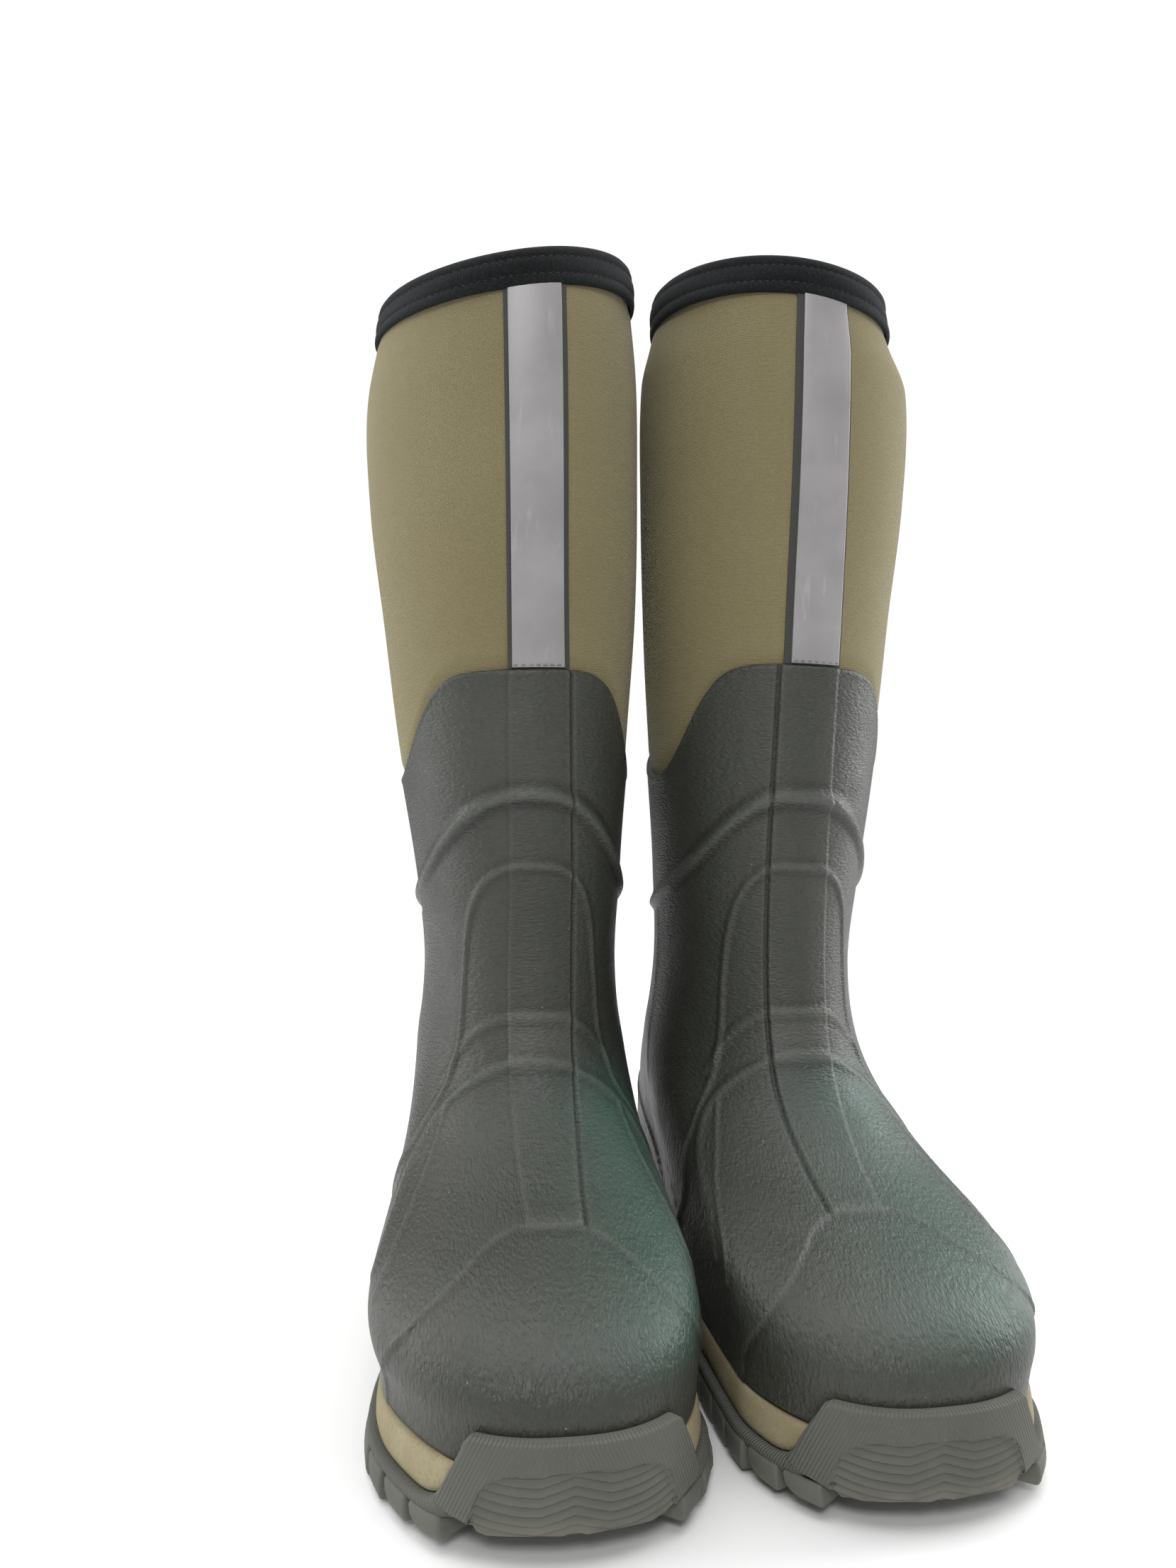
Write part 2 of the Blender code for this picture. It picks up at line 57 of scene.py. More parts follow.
# Outer skin: height, half width on the inner and the outer side, reach to the toe and to the heel.
LOFT = np.array([
    (20, 50.5, 54.5, 171.0, 101.0), (34, 51.0, 55.6, 173.6, 103.5), (40, 51.8, 58.0, 173.2, 104.0),
    (46, 52.2, 59.2, 170.8, 104.0), (52, 52.3, 59.0, 165.5, 104.0), (58, 52.0, 57.5, 156.0, 103.0),
    (64, 51.5, 55.5, 141.5, 101.5), (70, 50.8, 53.5, 123.0, 99.5), (77, 50.0, 51.5, 104.0, 96.5),
    (86, 49.0, 49.5, 87.0, 92.0), (97, 47.8, 47.3, 72.0, 86.5), (110, 45.8, 44.8, 61.0, 80.5),
    (126, 43.0, 42.4, 53.5, 75.0), (145, 41.3, 41.2, 50.5, 70.5), (186, 43.0, 45.6, 51.5, 67.0),
    (240, 47.8, 53.4, 55.5, 68.5), (294, 52.3, 59.4, 60.0, 71.5), (347, 54.2, 64.3, 64.5, 73.0),
    (397, 54.2, 64.0, 66.0, 72.5), (424, 51.8, 59.0, 65.3, 70.5), (437, 50.8, 57.5, 64.5, 69.5),
], dtype=float)
# Plan of the foot from toe (0) to heel (1): share of the half width on the inner and the outer side.
PLAN = np.array([
    (0.00, 1.24, 1.14), (0.05, 1.23, 1.16), (0.10, 1.20, 1.15), (0.15, 1.16, 1.15),
    (0.20, 1.08, 1.12), (0.28, 0.99, 1.03), (0.45, 0.90, 0.84), (0.62, 0.81, 0.78),
    (0.80, 0.87, 0.81), (1.00, 0.93, 0.81),
])
FOOT_TOP, SHAFT_FOOT = 56.0, 121.0     # heights between which the foot's plan fades into the round shaft
BLUNT_ENDS, BLUNT_SIDES = 0.86, 0.78   # how square the foot's plan is: 1 is an ellipse
TOP, COLLAR_FOOT = 437.0, 421.0
LEAN_FROM, TIP_FROM = 180.0, 140.0     # above these heights the soft shaft leans and its levels tip
RISE_FROM, RISE_FULL = 205.0, 262.0
GATHER_FROM, GATHER_FULL = 397.0, 421.0
HALF_WIDE, HALF_DEEP = 58.0, 66.0      # of the rim, where the tip is reached in full
BOOT_GAP = 104.7                       # from one boot's axis to the other's
TOE_OUT = math.radians(1.4)
# Outward lean, rise of the rim to the inner side and to the back, how much taller the soft shaft stands,
# how far the rim is drawn in on the inner and the outer side, and the front tape's place.
STANCES = {
    "right": {"mirrored": False, "lean": 7.0, "tip_in": 11.5, "tip_back": 10.0, "rise": 0.0,
              "gather": (0.0, 0.0), "tape_shift": 3.3},
    "left": {"mirrored": True, "lean": 2.5, "tip_in": 5.5, "tip_back": 9.0, "rise": 4.8,
             "gather": (3.0, 6.5), "tape_shift": -3.6},
}
WEDGE_TOP, LUG_DEPTH = 24.0, 4.2
EDGE_LEVEL = 34.0                      # the foot's outline here is the one that the sole follows
SOLE_PROUD, BUMPER_PROUD, BUMPER_TOP = 3.2, 4.2, 35.6
TOE_RISE, TOE_RISE_FROM, TOE_RISE_LENGTH = 6.4, 108.0, 68.0
SHELL_FRONT = 267.4
NEOPRENE_DEPTH = 1.3


def through(table, column, at):
    """A smooth curve through one column of a table whose first column is the position."""
    x, y = table[:, 0], table[:, column]
    slope = np.gradient(y, x)
    at = np.clip(np.asarray(at, float), x[0], x[-1])
    i = np.clip(np.searchsorted(x, at) - 1, 0, len(x) - 2)
    span = x[i + 1] - x[i]
    u = (at - x[i]) / span
    return ((2 * u**3 - 3 * u**2 + 1) * y[i] + (u**3 - 2 * u**2 + u) * span * slope[i]
            + (3 * u**2 - 2 * u**3) * y[i + 1] + (u**3 - u**2) * span * slope[i + 1])


def ease(low, high, at):
    """0 below low, 1 above high, smooth between."""
    u = np.clip((np.asarray(at, float) - low) / (high - low), 0, 1)
    return u * u * (3 - 2 * u)


def skin(turn, height):
    """Points of the outer skin of a right boot."""
    turn, height = np.broadcast_arrays(np.asarray(turn, float), np.asarray(height, float))
    front, back = -through(LOFT, 3, height), through(LOFT, 4, height)
    foot = 1 - ease(FOOT_TOP, SHAFT_FOOT, height)
    ends, sides = 1 - (1 - BLUNT_ENDS) * foot, 1 - (1 - BLUNT_SIDES) * foot
    cos, sin = np.cos(turn), np.sin(turn)
    along = np.sign(cos) * np.abs(cos) ** ends
    y = (front + back) / 2 - (back - front) / 2 * along
    from_toe = (1 - along) / 2
    half = np.where(sin > 0, through(LOFT, 1, height), through(LOFT, 2, height))
    share = np.where(sin > 0, through(PLAN, 1, from_toe), through(PLAN, 2, from_toe))
    x = half * (1 + foot * (share - 1)) * np.sign(sin) * np.abs(sin) ** sides
    return np.stack([x, y, height], axis=-1)


def layer(turn, height, depth, level=False):
    """Points at a depth under the skin; level moves them sideways only."""
    step = 1e-3
    round_ = skin(turn + step, height) - skin(turn - step, height)
    up = skin(turn, height + 0.5) - skin(turn, height - 0.5)
    out = np.cross(round_, up)
    if level:
        out[..., 2] = 0
    out /= np.linalg.norm(out, axis=-1, keepdims=True)
    return skin(turn, height) - out * np.asarray(depth, float)[..., None]


def signed(turn):
    """Turn in degrees, from -180 to 180."""
    return np.degrees((np.asarray(turn) + np.pi) % (2 * np.pi) - np.pi)


def shell_edge(turn):
    """Height of the rubber's scalloped top edge."""
    below = np.array([(0, 0), (14, 0), (24, 0.5), (30, 1.2), (35, 2.6), (40, 5.2), (45, 9.5), (50, 15),
                      (55, 21), (60, 27), (66, 33), (73, 38), (82, 41), (92, 41.5), (104, 39), (125, 31),
                      (145, 24), (165, 19), (180, 18)], dtype=float)
    return SHELL_FRONT - through(below, 1, np.abs(signed(turn)))


def toe_rise(y):
    """How far the sole curls up under the toe."""
    return TOE_RISE * np.clip((-np.asarray(y) - TOE_RISE_FROM) / TOE_RISE_LENGTH, 0, None) ** 1.5


def sole_outline(depth, turns):
    """Outline of the foot that the sole follows, in by a depth."""
    height = np.full(len(turns), EDGE_LEVEL)
    return layer(turns, height, np.broadcast_to(depth, len(turns)), level=True)


def posed(points, side):
    """From a right boot's own frame to the pair's, in millimetres."""
    stance = STANCES[side]
    cos, sin = math.cos(TOE_OUT), math.sin(TOE_OUT)
    x, y, height = np.moveaxis(np.asarray(points, float), -1, 0)
    z = height
    tip = np.clip((z - TIP_FROM) / (TOP - TIP_FROM), 0, None) ** 2
    lean = np.clip((z - LEAN_FROM) / (TOP - LEAN_FROM), 0, None)
    z = z + tip * (stance["tip_in"] * x / HALF_WIDE + stance["tip_back"] * y / HALF_DEEP)
    z = z + stance["rise"] * ease(RISE_FROM, RISE_FULL, height)
    gather = np.where(x > 0, *stance["gather"]) * ease(GATHER_FROM, GATHER_FULL, height)
    x = x - gather * np.clip(x / HALF_WIDE, -1, 1)
    x = x - stance["lean"] * lean
    x, y = x * cos + y * sin - BOOT_GAP / 2, y * cos - x * sin
    return np.stack([-x if stance["mirrored"] else x, y, z], axis=-1)


AROUND = np.radians(np.arange(0, 360, 0.5))
TOE_TIP = posed(sole_outline(-BUMPER_PROUD, AROUND), "right")[:, 1].min()
Y_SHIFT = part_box("right_outsole")[0][1] / MM - TOE_TIP


def placed(points, side):
    """Points of a right boot's frame in the row's frame, in metres."""
    return (posed(points, side) + (0, Y_SHIFT, 0)) * MM


# -------------------- meshes


class Skin:
    """Vertices and quads of one piece, gathered patch by patch."""

    def __init__(self, side):
        self.side, self.points, self.quads, self.marks, self.uv, self.count = side, [], [], {}, [], 0

    def grid(self, points, closed=True, uv=None, **marks):
        """Rows of points going up and round towards the inner side. marks are values at each point."""
        rows, columns = points.shape[:2]
        index = np.arange(rows * columns).reshape(rows, columns) + self.count
        if closed:
            index = np.concatenate([index, index[:, :1]], axis=1)
        a, b, c, d = index[:-1, :-1], index[:-1, 1:], index[1:, 1:], index[1:, :-1]
        for name in set(marks) | set(self.marks):
            values = self.marks.setdefault(name, [np.zeros(self.count)] if self.count else [])
            values.append(np.broadcast_to(np.asarray(marks.get(name, 0.0), float), (rows, columns)).ravel())
        self.points.append(points.reshape(-1, 3))
        self.quads.append(np.stack([a, b, c, d], axis=-1).reshape(-1, 4))
        self.uv.append(np.zeros((rows * columns, 2)) if uv is None else uv.reshape(-1, 2))
        self.count += rows * columns

    def make(self, name, material, cad_node, body=None, smooth_angle=None):
        points = placed(np.concatenate(self.points), self.side)
        quads = np.concatenate(self.quads).astype(np.int32)
        if STANCES[self.side]["mirrored"]:
            quads = quads[:, ::-1]
        mesh = bpy.data.meshes.new(f"{self.side}_{name}")
        mesh.vertices.add(len(points))
        mesh.vertices.foreach_set("co", points.astype(np.float32).ravel())
        mesh.loops.add(quads.size)
        mesh.loops.foreach_set("vertex_index", quads.ravel())
        mesh.polygons.add(len(quads))
        mesh.polygons.foreach_set("loop_start", np.arange(0, quads.size, 4, dtype=np.int32))
        mesh.update(calc_edges=True)
        layer_ = mesh.uv_layers.new(name="surface")
        layer_.data.foreach_set("uv", np.concatenate(self.uv)[quads.ravel()].astype(np.float32).ravel())
        for mark, values in self.marks.items():
            mesh.attributes.new(mark, "FLOAT", "POINT").data.foreach_set(
                "value", np.concatenate(values).astype(np.float32))
        mesh.validate()
        mesh.shade_smooth()
        if smooth_angle:
            mesh.set_sharp_from_angle(angle=math.radians(smooth_angle))
        made = bpy.data.objects.new(f"{self.side}_{name}", mesh)
        bpy.context.scene.collection.objects.link(made)
        mesh.materials.append(material)
        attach(made, body or f"{self.side}_boot")
        if cad_node:
            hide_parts(f"{self.side}_{cad_node}")
        return made


def even_columns(count):
    """Evenly spaced turns all round."""
    return np.arange(count) * 2 * np.pi / count


def surface_at(across, up):
    """Surface coordinates in centimetres from two lengths in millimetres."""
    return np.stack(np.broadcast_arrays(across, up), axis=-1) / 10


def bump_shape(distance, half):
    """A round bump of height 1 and the given half width."""
    return np.where(np.abs(distance) < half, 0.5 + 0.5 * np.cos(np.pi * distance / half), 0.0)


def wander(turn, height, seed, size=60.0):
    """A slow, smooth, seeded unevenness between about -1 and 1, size millimetres across."""
    rng = np.random.default_rng(seed)
    total = 0
    for _ in range(6):
        k, phase = rng.integers(1, 5), rng.uniform(0, 2 * np.pi, 2)
        pace = rng.uniform(0.6, 1.6) * 2
        total = total + np.sin(k * turn + phase[0]) * np.sin(height / size * pace + phase[1])
    return total / 3


# -------------------- the rubber foot

# Moulded lines as (turn in degrees, height); each runs on both sides of the boot.
RIB_ARCH = [(0, 217.5), (10, 217), (20, 214.5), (30, 209.5), (43, 200.5), (57, 190), (72, 181), (85, 176),
            (100, 171), (130, 168), (155, 170), (180, 171)]
RIB_ARROW = [(0, 190), (15, 188.5), (25, 183), (32, 174), (36.5, 163), (39.5, 145), (40, 122), (43, 105),
             (52, 89), (66, 74), (80, 58), (88, 44)]
FLEX_UPPER = [(0, 131), (17, 130), (31, 124), (40, 115), (46, 106)]
FLEX_LOWER = [(0, 115), (12, 114), (23, 110), (34, 104), (44, 94.5), (50, 84), (54, 70), (58, 56)]
FLEX_SIDE = [(40, 97), (41.5, 84), (47, 67), (53, 52)]
TOE_CAP = [(0, 73), (8, 72.5), (15, 69.5), (21, 65.5), (27, 61), (32, 57), (37, 52.5), (42, 47),
           (46, 42), (50, 35)]
HEEL_CUP = [(180, 92), (155, 90), (130, 82), (112, 70), (100, 56), (94, 40)]
SIDE_SEAM = [(94, 166), (93, 126), (92, 80), (89, 63), (84, 48)]
# Middle of the raised front panel, towards the inner side, by height.
PANEL_SHIFT = {
    "right": np.array([(60, 2.6), (73, 2.8), (130, 3.4), (200, 3.4), (240, 3.3), (268, 3.3)]),
    "left": np.array([(60, 1.7), (73, 1.7), (130, -1.0), (200, -1.2), (240, -1.9), (268, -2.3)]),
}
PANEL_HALF = np.array([(60, 8.6), (73, 9.2), (95, 11.2), (130, 12.0), (180, 12.0), (268, 11.9)])


def line_points(path):
    """The path on the skin as closely spaced points, on both sides."""
    path = np.array(path, float)
    if path[0, 0] > path[-1, 0]:
        path = path[::-1]
    run = np.concatenate([[0], np.cumsum(np.hypot(np.diff(path[:, 0]) * 0.9, np.diff(path[:, 1])))])
    at = np.arange(0, run[-1] + 0.7, 0.7)
    table = np.column_stack([run, path])
    turn, height = through(table, 1, at), through(table, 2, at)
    return np.concatenate([skin(np.radians(turn), height), skin(np.radians(-turn), height)])


def distance_to(points, line, reach):
    """Distance from each point to the nearest of the line's points, only exact within reach."""
    flat = points.reshape(-1, 3)
    found = np.full(len(flat), 1e3)
    low, high = line.min(axis=0) - reach, line.max(axis=0) + reach
    near = np.flatnonzero(np.all((flat > low) & (flat < high), axis=1))
    for part in np.array_split(near, max(1, len(near) // 4000)):
        if len(part):
            gap = flat[part, None, :] - line[None, :, :]
            found[part] = np.sqrt((gap * gap).sum(axis=2).min(axis=1))
    return found.reshape(points.shape[:-1])


def rubber_relief(base, turn, side):
    """How far the moulded detail stands out of the skin, and masks for the material: the patch, and the
    groove that is given painted shade.
    """
    around, z = np.abs(signed(turn)), base[..., 2]
    cap = through(np.array(TOE_CAP), 1, np.clip(around, 0, 50))
    above_cap = ease(-0.8, 0.8, z - cap) * (around < 50) + (around >= 50)
    arch = through(np.array(RIB_ARCH), 1, around)
    rib = distance_to(base, line_points(RIB_ARCH), 7)
    out = 2.0 * np.where(z > arch, bump_shape(rib, 5.8), bump_shape(rib, 4.2))
    for path, tall, half in ((RIB_ARROW, 0.85, 2.7), (FLEX_UPPER, 0.6, 3.4), (FLEX_LOWER, 0.75, 3.6),
                             (FLEX_SIDE, 0.5, 2.0), (TOE_CAP, 0.5, 1.5), (HEEL_CUP, 0.55, 1.8),
                             (SIDE_SEAM, 0.5, 1.6)):
        out += tall * bump_shape(distance_to(base, line_points(path), 4), half)
    out += 0.55 * above_cap * (z < 110) * (1 - ease(90, 110, z))
    heel_top = through(np.array(HEEL_CUP[::-1]), 1, np.clip(around, 94, 180))
    out += 0.6 * (1 - ease(-0.7, 0.7, z - heel_top)) * ease(93, 95, around)

    front = around < 75
    offset = base[..., 0] - through(PANEL_SHIFT[side], 1, z)
    half = through(PANEL_HALF, 1, z)
    here = front * above_cap * (base[..., 1] < 0)
    panel = (1 - ease(-0.6, 0.5, np.abs(offset) - half)) * here
    # A deep groove on the inner side, a fine raised line on the outer side.
    groove = bump_shape(offset - half - 1.0, 1.35) * here
    ridge = bump_shape(offset + half + 0.2, 0.9) * here
    out += 0.5 * panel - 0.75 * groove + 0.3 * ridge
    patch = panel * (1 - ease(10.4, 11.2, np.abs(z - 122.5)))
    out += 0.3 * patch
    return out, patch, groove


def hollows(relief, reach=3):
    """How far each point lies below its surroundings, in millimetres, on a grid closed sideways."""
    wide = sum(np.roll(relief, k, axis=1) for k in range(-reach, reach + 1)) / (2 * reach + 1)
    padded = np.pad(wide, ((reach, reach), (0, 0)), mode="edge")
    rows = relief.shape[0]
    around = sum(padded[k:k + rows] for k in range(2 * reach + 1)) / (2 * reach + 1)
    return around - relief


def painted_green_reflection(turn, z, side):
    """Where a green reflection is painted into the rubber's colour: one broad patch on the +X side of each
    instep.
    """
    angle = signed(turn) * (1 if side == "right" else -1)
    middle, wide = (34, 24) if side == "right" else (24, 26)
    across = np.exp(-((angle - middle) / wide) ** 2)
    return across * ease(40, 56, z) * (1 - ease(96, 124, z)) * (0.85 + 0.15 * wander(turn, z, 5, 30))


def rubber_shell(side, material):
    # Columns lie closer together over the toe and the instep than at the back.
    front, back = np.arange(-80, 80, 0.655), np.arange(80, 280, 1.49)
    turn = np.radians(np.concatenate([front, back]))
    columns, rows = len(turn), 250
    edge = shell_edge(turn)
    foot = WEDGE_TOP + 0.3
    heights = np.linspace(foot, SHELL_FRONT, 800)
    spine = skin(np.zeros(800), heights)
    step = np.linalg.norm(np.diff(spine, axis=0), axis=1) * 0.55 + np.diff(heights) * 0.45
    run = np.concatenate([[0], np.cumsum(step)])
    share = np.interp(np.linspace(0, run[-1], rows), run, (heights - foot) / (SHELL_FRONT - foot))
    z = foot + (edge[None] - foot) * share[:, None]
    angle = np.broadcast_to(turn, z.shape)
    base = skin(angle, z)
    relief, patch, groove = rubber_relief(base, angle, side)
    hollow = hollows(relief)
    relief += 0.25 * wander(angle, z, 11, 45) * ease(60, 110, z)
    # The bottom edge rolls under, except where the bumper meets it, and the top edge rolls in.
    up, down = z - foot, edge[None] - z
    toe = 1 - ease(24, 34, np.abs(signed(angle)))
    roll = 1 - np.sqrt(np.clip(1 - (1 - np.clip(up / 1.6, 0, 1)) ** 2, 0, 1))
    relief -= 1.3 * roll * (1 - toe)
    relief += 0.3 * bump_shape(down - 1.6, 1.8)
    relief -= 1.3 * (1 - np.sqrt(np.clip(1 - (1 - np.clip(down / 1.1, 0, 1)) ** 2, 0, 1)))
    made = Skin(side)
    outer = layer(angle, z, -relief)
    under = layer(turn, np.full(columns, foot), np.full(columns, 2.4), level=True)
    lip = layer(turn, edge + 0.1, np.full(columns, 2.2))

    def mark(values):
        return np.pad(values, ((1, 1), (0, 0)), mode="edge")

    # Painted shade: darker colour in the hollows and in the inner groove. Painted highlight: lighter colour
    # on the crests.
    dark, light = np.clip(hollow * 2.2 + 0.6 * groove, 0, 1), np.clip(-hollow * 1.6, 0, 1)
    made.grid(np.concatenate([under[None], outer, lip[None]]), patch=mark(patch), hollow=mark(dark),
              crest=mark(light), bloom=mark(painted_green_reflection(angle, z, side)), flow=mark(ease(60, 120, z)))
    return made.make("rubber_foot", material, "rubber_shell")


# -------------------- the soft shaft


SHAFT_RADIUS = 60.0  # turns a turn round the shaft into a length, for the fabrics' weave


def soft_depth(turn, height, depth):
    """A depth in the open part of the shaft, with the fabric's slow unevenness."""
    return depth - 0.55 * wander(turn, height, 21, 70) * ease(240, 300, height)


def neoprene(side, material):
    turn, rows = even_columns(256), 170
    low = shell_edge(turn) - 3
    share = np.linspace(0, 1, rows)[:, None]
    z = low[None] + (COLLAR_FOOT + 3 - low[None]) * share
    angle = np.broadcast_to(turn, z.shape)
    depth = soft_depth(angle, z, NEOPRENE_DEPTH)
    # Pinched where the rubber starts and where the collar is sewn on.
    depth = depth + 0.9 * (1 - ease(0, 7, z - shell_edge(angle))) + 0.5 * ease(-3.5, 0.5, z - COLLAR_FOOT)
    made = Skin(side)
    made.grid(layer(angle, z, depth), uv=surface_at(angle * SHAFT_RADIUS, z))
    return made.make("neoprene_shaft", material, "neoprene_bootie")


def lining(side, material):
    turn = even_columns(160)
    z = np.concatenate([np.linspace(37, 90, 30), np.linspace(93, TOP - 6, 80)])[:, None]
    angle, z = np.broadcast_arrays(turn[None], z)
    edge = shell_edge(angle)
    depth = np.where(z < edge, 7.7 + 1.7 * (1 - ease(79, 105, z)), 7.7 - 1.5 * ease(0, 6, z - edge))
    depth = depth + 0.3 * wander(angle, z, 31, 40)
    made = Skin(side)
    points = layer(angle, z, depth)[:, ::-1]
    made.grid(points, uv=surface_at(angle * SHAFT_RADIUS, z)[:, ::-1])
    return made.make("lining_knit", material, "lining")


COLLAR_PROFILE = np.array([  # depth under the skin and height of the binding's section, outer foot first
    (1.3, -0.3), (0.2, -0.45), (-0.35, 0.0), (-0.62, 0.9), (-0.75, 2.2), (-0.62, 3.5), (-0.12, 4.2),
    (-0.58, 4.9), (-0.88, 6.2), (-0.98, 7.8), (-0.9, 9.4), (-0.62, 10.5), (-0.12, 11.2), (-0.5, 11.9),
    (-0.6, 13.0), (-0.3, 14.4), (0.5, 15.5), (1.8, 16.1), (3.4, 16.3), (5.2, 16.2), (6.9, 15.8),
    (8.3, 15.0), (9.0, 13.6), (9.2, 12.0), (8.9, 11.2), (9.2, 10.4), (9.35, 7.0), (9.3, 2.5), (9.0, 0.4),
    (8.2, 0.0),
])
COLLAR_STITCHES = ((-0.02, 4.2), (-0.02, 11.2))


def collar(side, material):
    depth, height = COLLAR_PROFILE[:, :1], COLLAR_PROFILE[:, 1:]
    angle = np.broadcast_to(even_columns(300), (len(COLLAR_PROFILE), 300))
    pucker = 0.12 * np.sin(angle * 95) * bump_shape(height - 4.2, 3) + 0.10 * np.sin(angle * 80 + 1) * (
        bump_shape(height - 11.2, 2.5))
    loose = 0.35 * wander(angle, height * 3, 41, 20) * (depth < 2)
    # Where the binding's two ends lap, at the back of the outer side.
    lap = 0.45 * (1 - ease(0.0, 0.02, np.abs(signed(angle) + 152) / 60 - 0.09)) * (depth < 9)
    made = Skin(side)
    made.grid(layer(angle, COLLAR_FOOT + height + 0 * angle, depth - pucker - loose - lap),
              uv=surface_at(angle * SHAFT_RADIUS, height))
    return made.make("collar_binding", material, "collar_binding")


def lay_thread(made, here, ahead, deeper, length, radius):
    """A short thread lying at here towards ahead, its ends sunk into the cloth."""
    ring = np.radians(np.arange(6) * 60)[None, :, None]
    along = np.array([-0.5, -0.36, 0, 0.36, 0.5])[:, None, None] * length
    fat = np.array([0.15, 0.85, 1.0, 0.85, 0.15])[:, None, None] * radius
    sink = np.array([0.6, 0.1, 0, 0.1, 0.6])[:, None, None] * radius
    tangent = (ahead - here) / np.linalg.norm(ahead - here)
    out = (here - deeper) / np.linalg.norm(here - deeper)
    across = np.cross(out, tangent)
    made.grid(here + along * tangent - sink * out + fat * (np.cos(ring) * out + np.sin(ring) * across))


def thread_row(made, turn, height, depth, length, radius):
    """Threads lying along the turn, one at each place."""
    for t, z, d in zip(turn, height, depth):
        spots = layer(np.array([t, t + 1e-3, t]), np.array([z, z, z]), np.array([d, d, d + 1]))
        lay_thread(made, *spots, length, radius)


def even_turns(height, depth, pitch):
    """Turns that are an even pitch apart round the shaft at a height."""
    turn = np.radians(np.arange(0, 360.01, 0.5))
    points = layer(turn, np.full(len(turn), height), np.full(len(turn), depth))
    run = np.concatenate([[0], np.cumsum(np.linalg.norm(np.diff(points, axis=0), axis=1))])
    count = int(run[-1] / pitch)
    return np.interp(np.arange(count) * run[-1] / count, run, turn)


def collar_stitching(side, material):
    made = Skin(side)
    for depth, above in COLLAR_STITCHES:
        turn = even_turns(COLLAR_FOOT + above, depth, 3.1)
        full = np.full(len(turn), 1.0)
        loose = 0.35 * wander(turn, above * 3 * full, 41, 20)
        thread_row(made, turn, (COLLAR_FOOT + above) * full, depth - 0.05 - loose, 2.3, 0.22)
    return made.make("collar_stitching", material, None)


def band(made, middle, half, low, high, top, foot, shift):
    """A tape up the shaft with rounded edges; shift(z) is its middle towards the inner side."""
    right = [(0.2, top), (0.6, top), (0.955, top), (0.985, top + 0.06), (1, top + 0.22), (1, foot)]
    section = np.array([(-x, d) for x, d in right[::-1]] + right)
    z = np.concatenate([[low, low], np.linspace(low + 0.15, high - 0.1, 150), [high]])[:, None]
    across = section[None, :, 0] * half + shift(z)
    depth = np.broadcast_to(section[None, :, 1], across.shape).copy()
    depth[0] = foot
    sign = 1 if middle == 0 else -1
    wide = np.where(across > 0, through(LOFT, 1, z), through(LOFT, 2, z))
    turn = middle + sign * np.arcsin(across / wide)
    height = np.broadcast_to(z, turn.shape)
    points = layer(turn, height, soft_depth(turn, height, depth))
    uv = surface_at(across, height)
    if middle:
        points, uv = points[:, ::-1], uv[:, ::-1]
    made.grid(points, closed=False, uv=uv)


def front_tapes(side, backing, film, thread):
    shift = STANCES[side]["tape_shift"]
    under = Skin(side)
    band(under, 0, 12.5, SHELL_FRONT + 0.3, COLLAR_FOOT, 0.75, 1.5, lambda z: shift + 0 * z)
    under.make("backing_tape", backing, "front_backing_tape")
    over = Skin(side)
    lay = 1.1 if side == "left" else 0.2
    band(over, 0, 10.5, SHELL_FRONT + 0.8, COLLAR_FOOT, 0.25, 0.8, lambda z: shift - lay + 0 * z)
    over.make("reflective_strip", film, "front_reflective_strip")
    tack = Skin(side)
    turn = np.arcsin((np.linspace(-9, 9, 7) + shift - lay) / 55)
    thread_row(tack, turn, np.full(7, SHELL_FRONT + 1.6), np.full(7, 0.15), 1.9, 0.32)
    tack.make("strip_bar_tack", thread, None)


def rear_tape(side, material, thread):
    made = Skin(side)
    low = float(shell_edge(np.pi)) + 0.6
    band(made, np.pi, 13.0, low, COLLAR_FOOT, 0.35, 1.6, lambda z: 0 * z)
    made.make("rear_seam_tape", material, "rear_seam_tape")
    seams = Skin(side)
    for x in (-10.6, 10.6):
        for at in np.arange(low + 3, COLLAR_FOOT - 3, 3.4):
            turn = np.pi - math.asin(x / float(through(LOFT, 1 if x > 0 else 2, at)))
            depth = float(soft_depth(turn, at, 0.3))
            spots = layer(np.full(3, turn), at + np.array([0, 1, 0]), depth + np.array([0, 0, 1]))
            lay_thread(seams, *spots, 2.4, 0.24)
    seams.make("rear_tape_stitching", thread, None)


# -------------------- the sole


def edge_run(columns=1440):
    """Turns round the sole and the run along its edge from the toe, negative on the outer side."""
    turn = np.radians(np.linspace(-180, 180, columns + 1))
    points = sole_outline(0, turn)
    run = np.concatenate([[0], np.cumsum(np.linalg.norm(np.diff(points, axis=0), axis=1))])
    return turn, run - np.interp(0, turn, run)


RUN_TURN, RUN = edge_run()
# Sides of the toe bumper: height, run on the outer and on the inner side.
BUMPER_SIDES = np.array([
    (2, 24, 29), (8, 25.5, 31.5), (11, 28.5, 37), (13, 35, 44), (14.5, 38.3, 47), (18.2, 36.7, 45),
    (25, 33, 41.4), (31, 29.9, 37.6), (34.5, 28, 34.8), (35.6, 26.4, 32.6),
], dtype=float)


def wedge_away(run):
    """How far back along the edge from the midsole's rounded front ends."""
    return np.where(run < 0, -run - 34, run - 42)


def wedge_curl(run):
    """How far the foot of the midsole curves up at its front ends."""
    return 9.0 * (1 - np.sqrt(np.clip(1 - (1 - np.clip(wedge_away(run) / 14, 0, 1)) ** 2, 0, 1)))


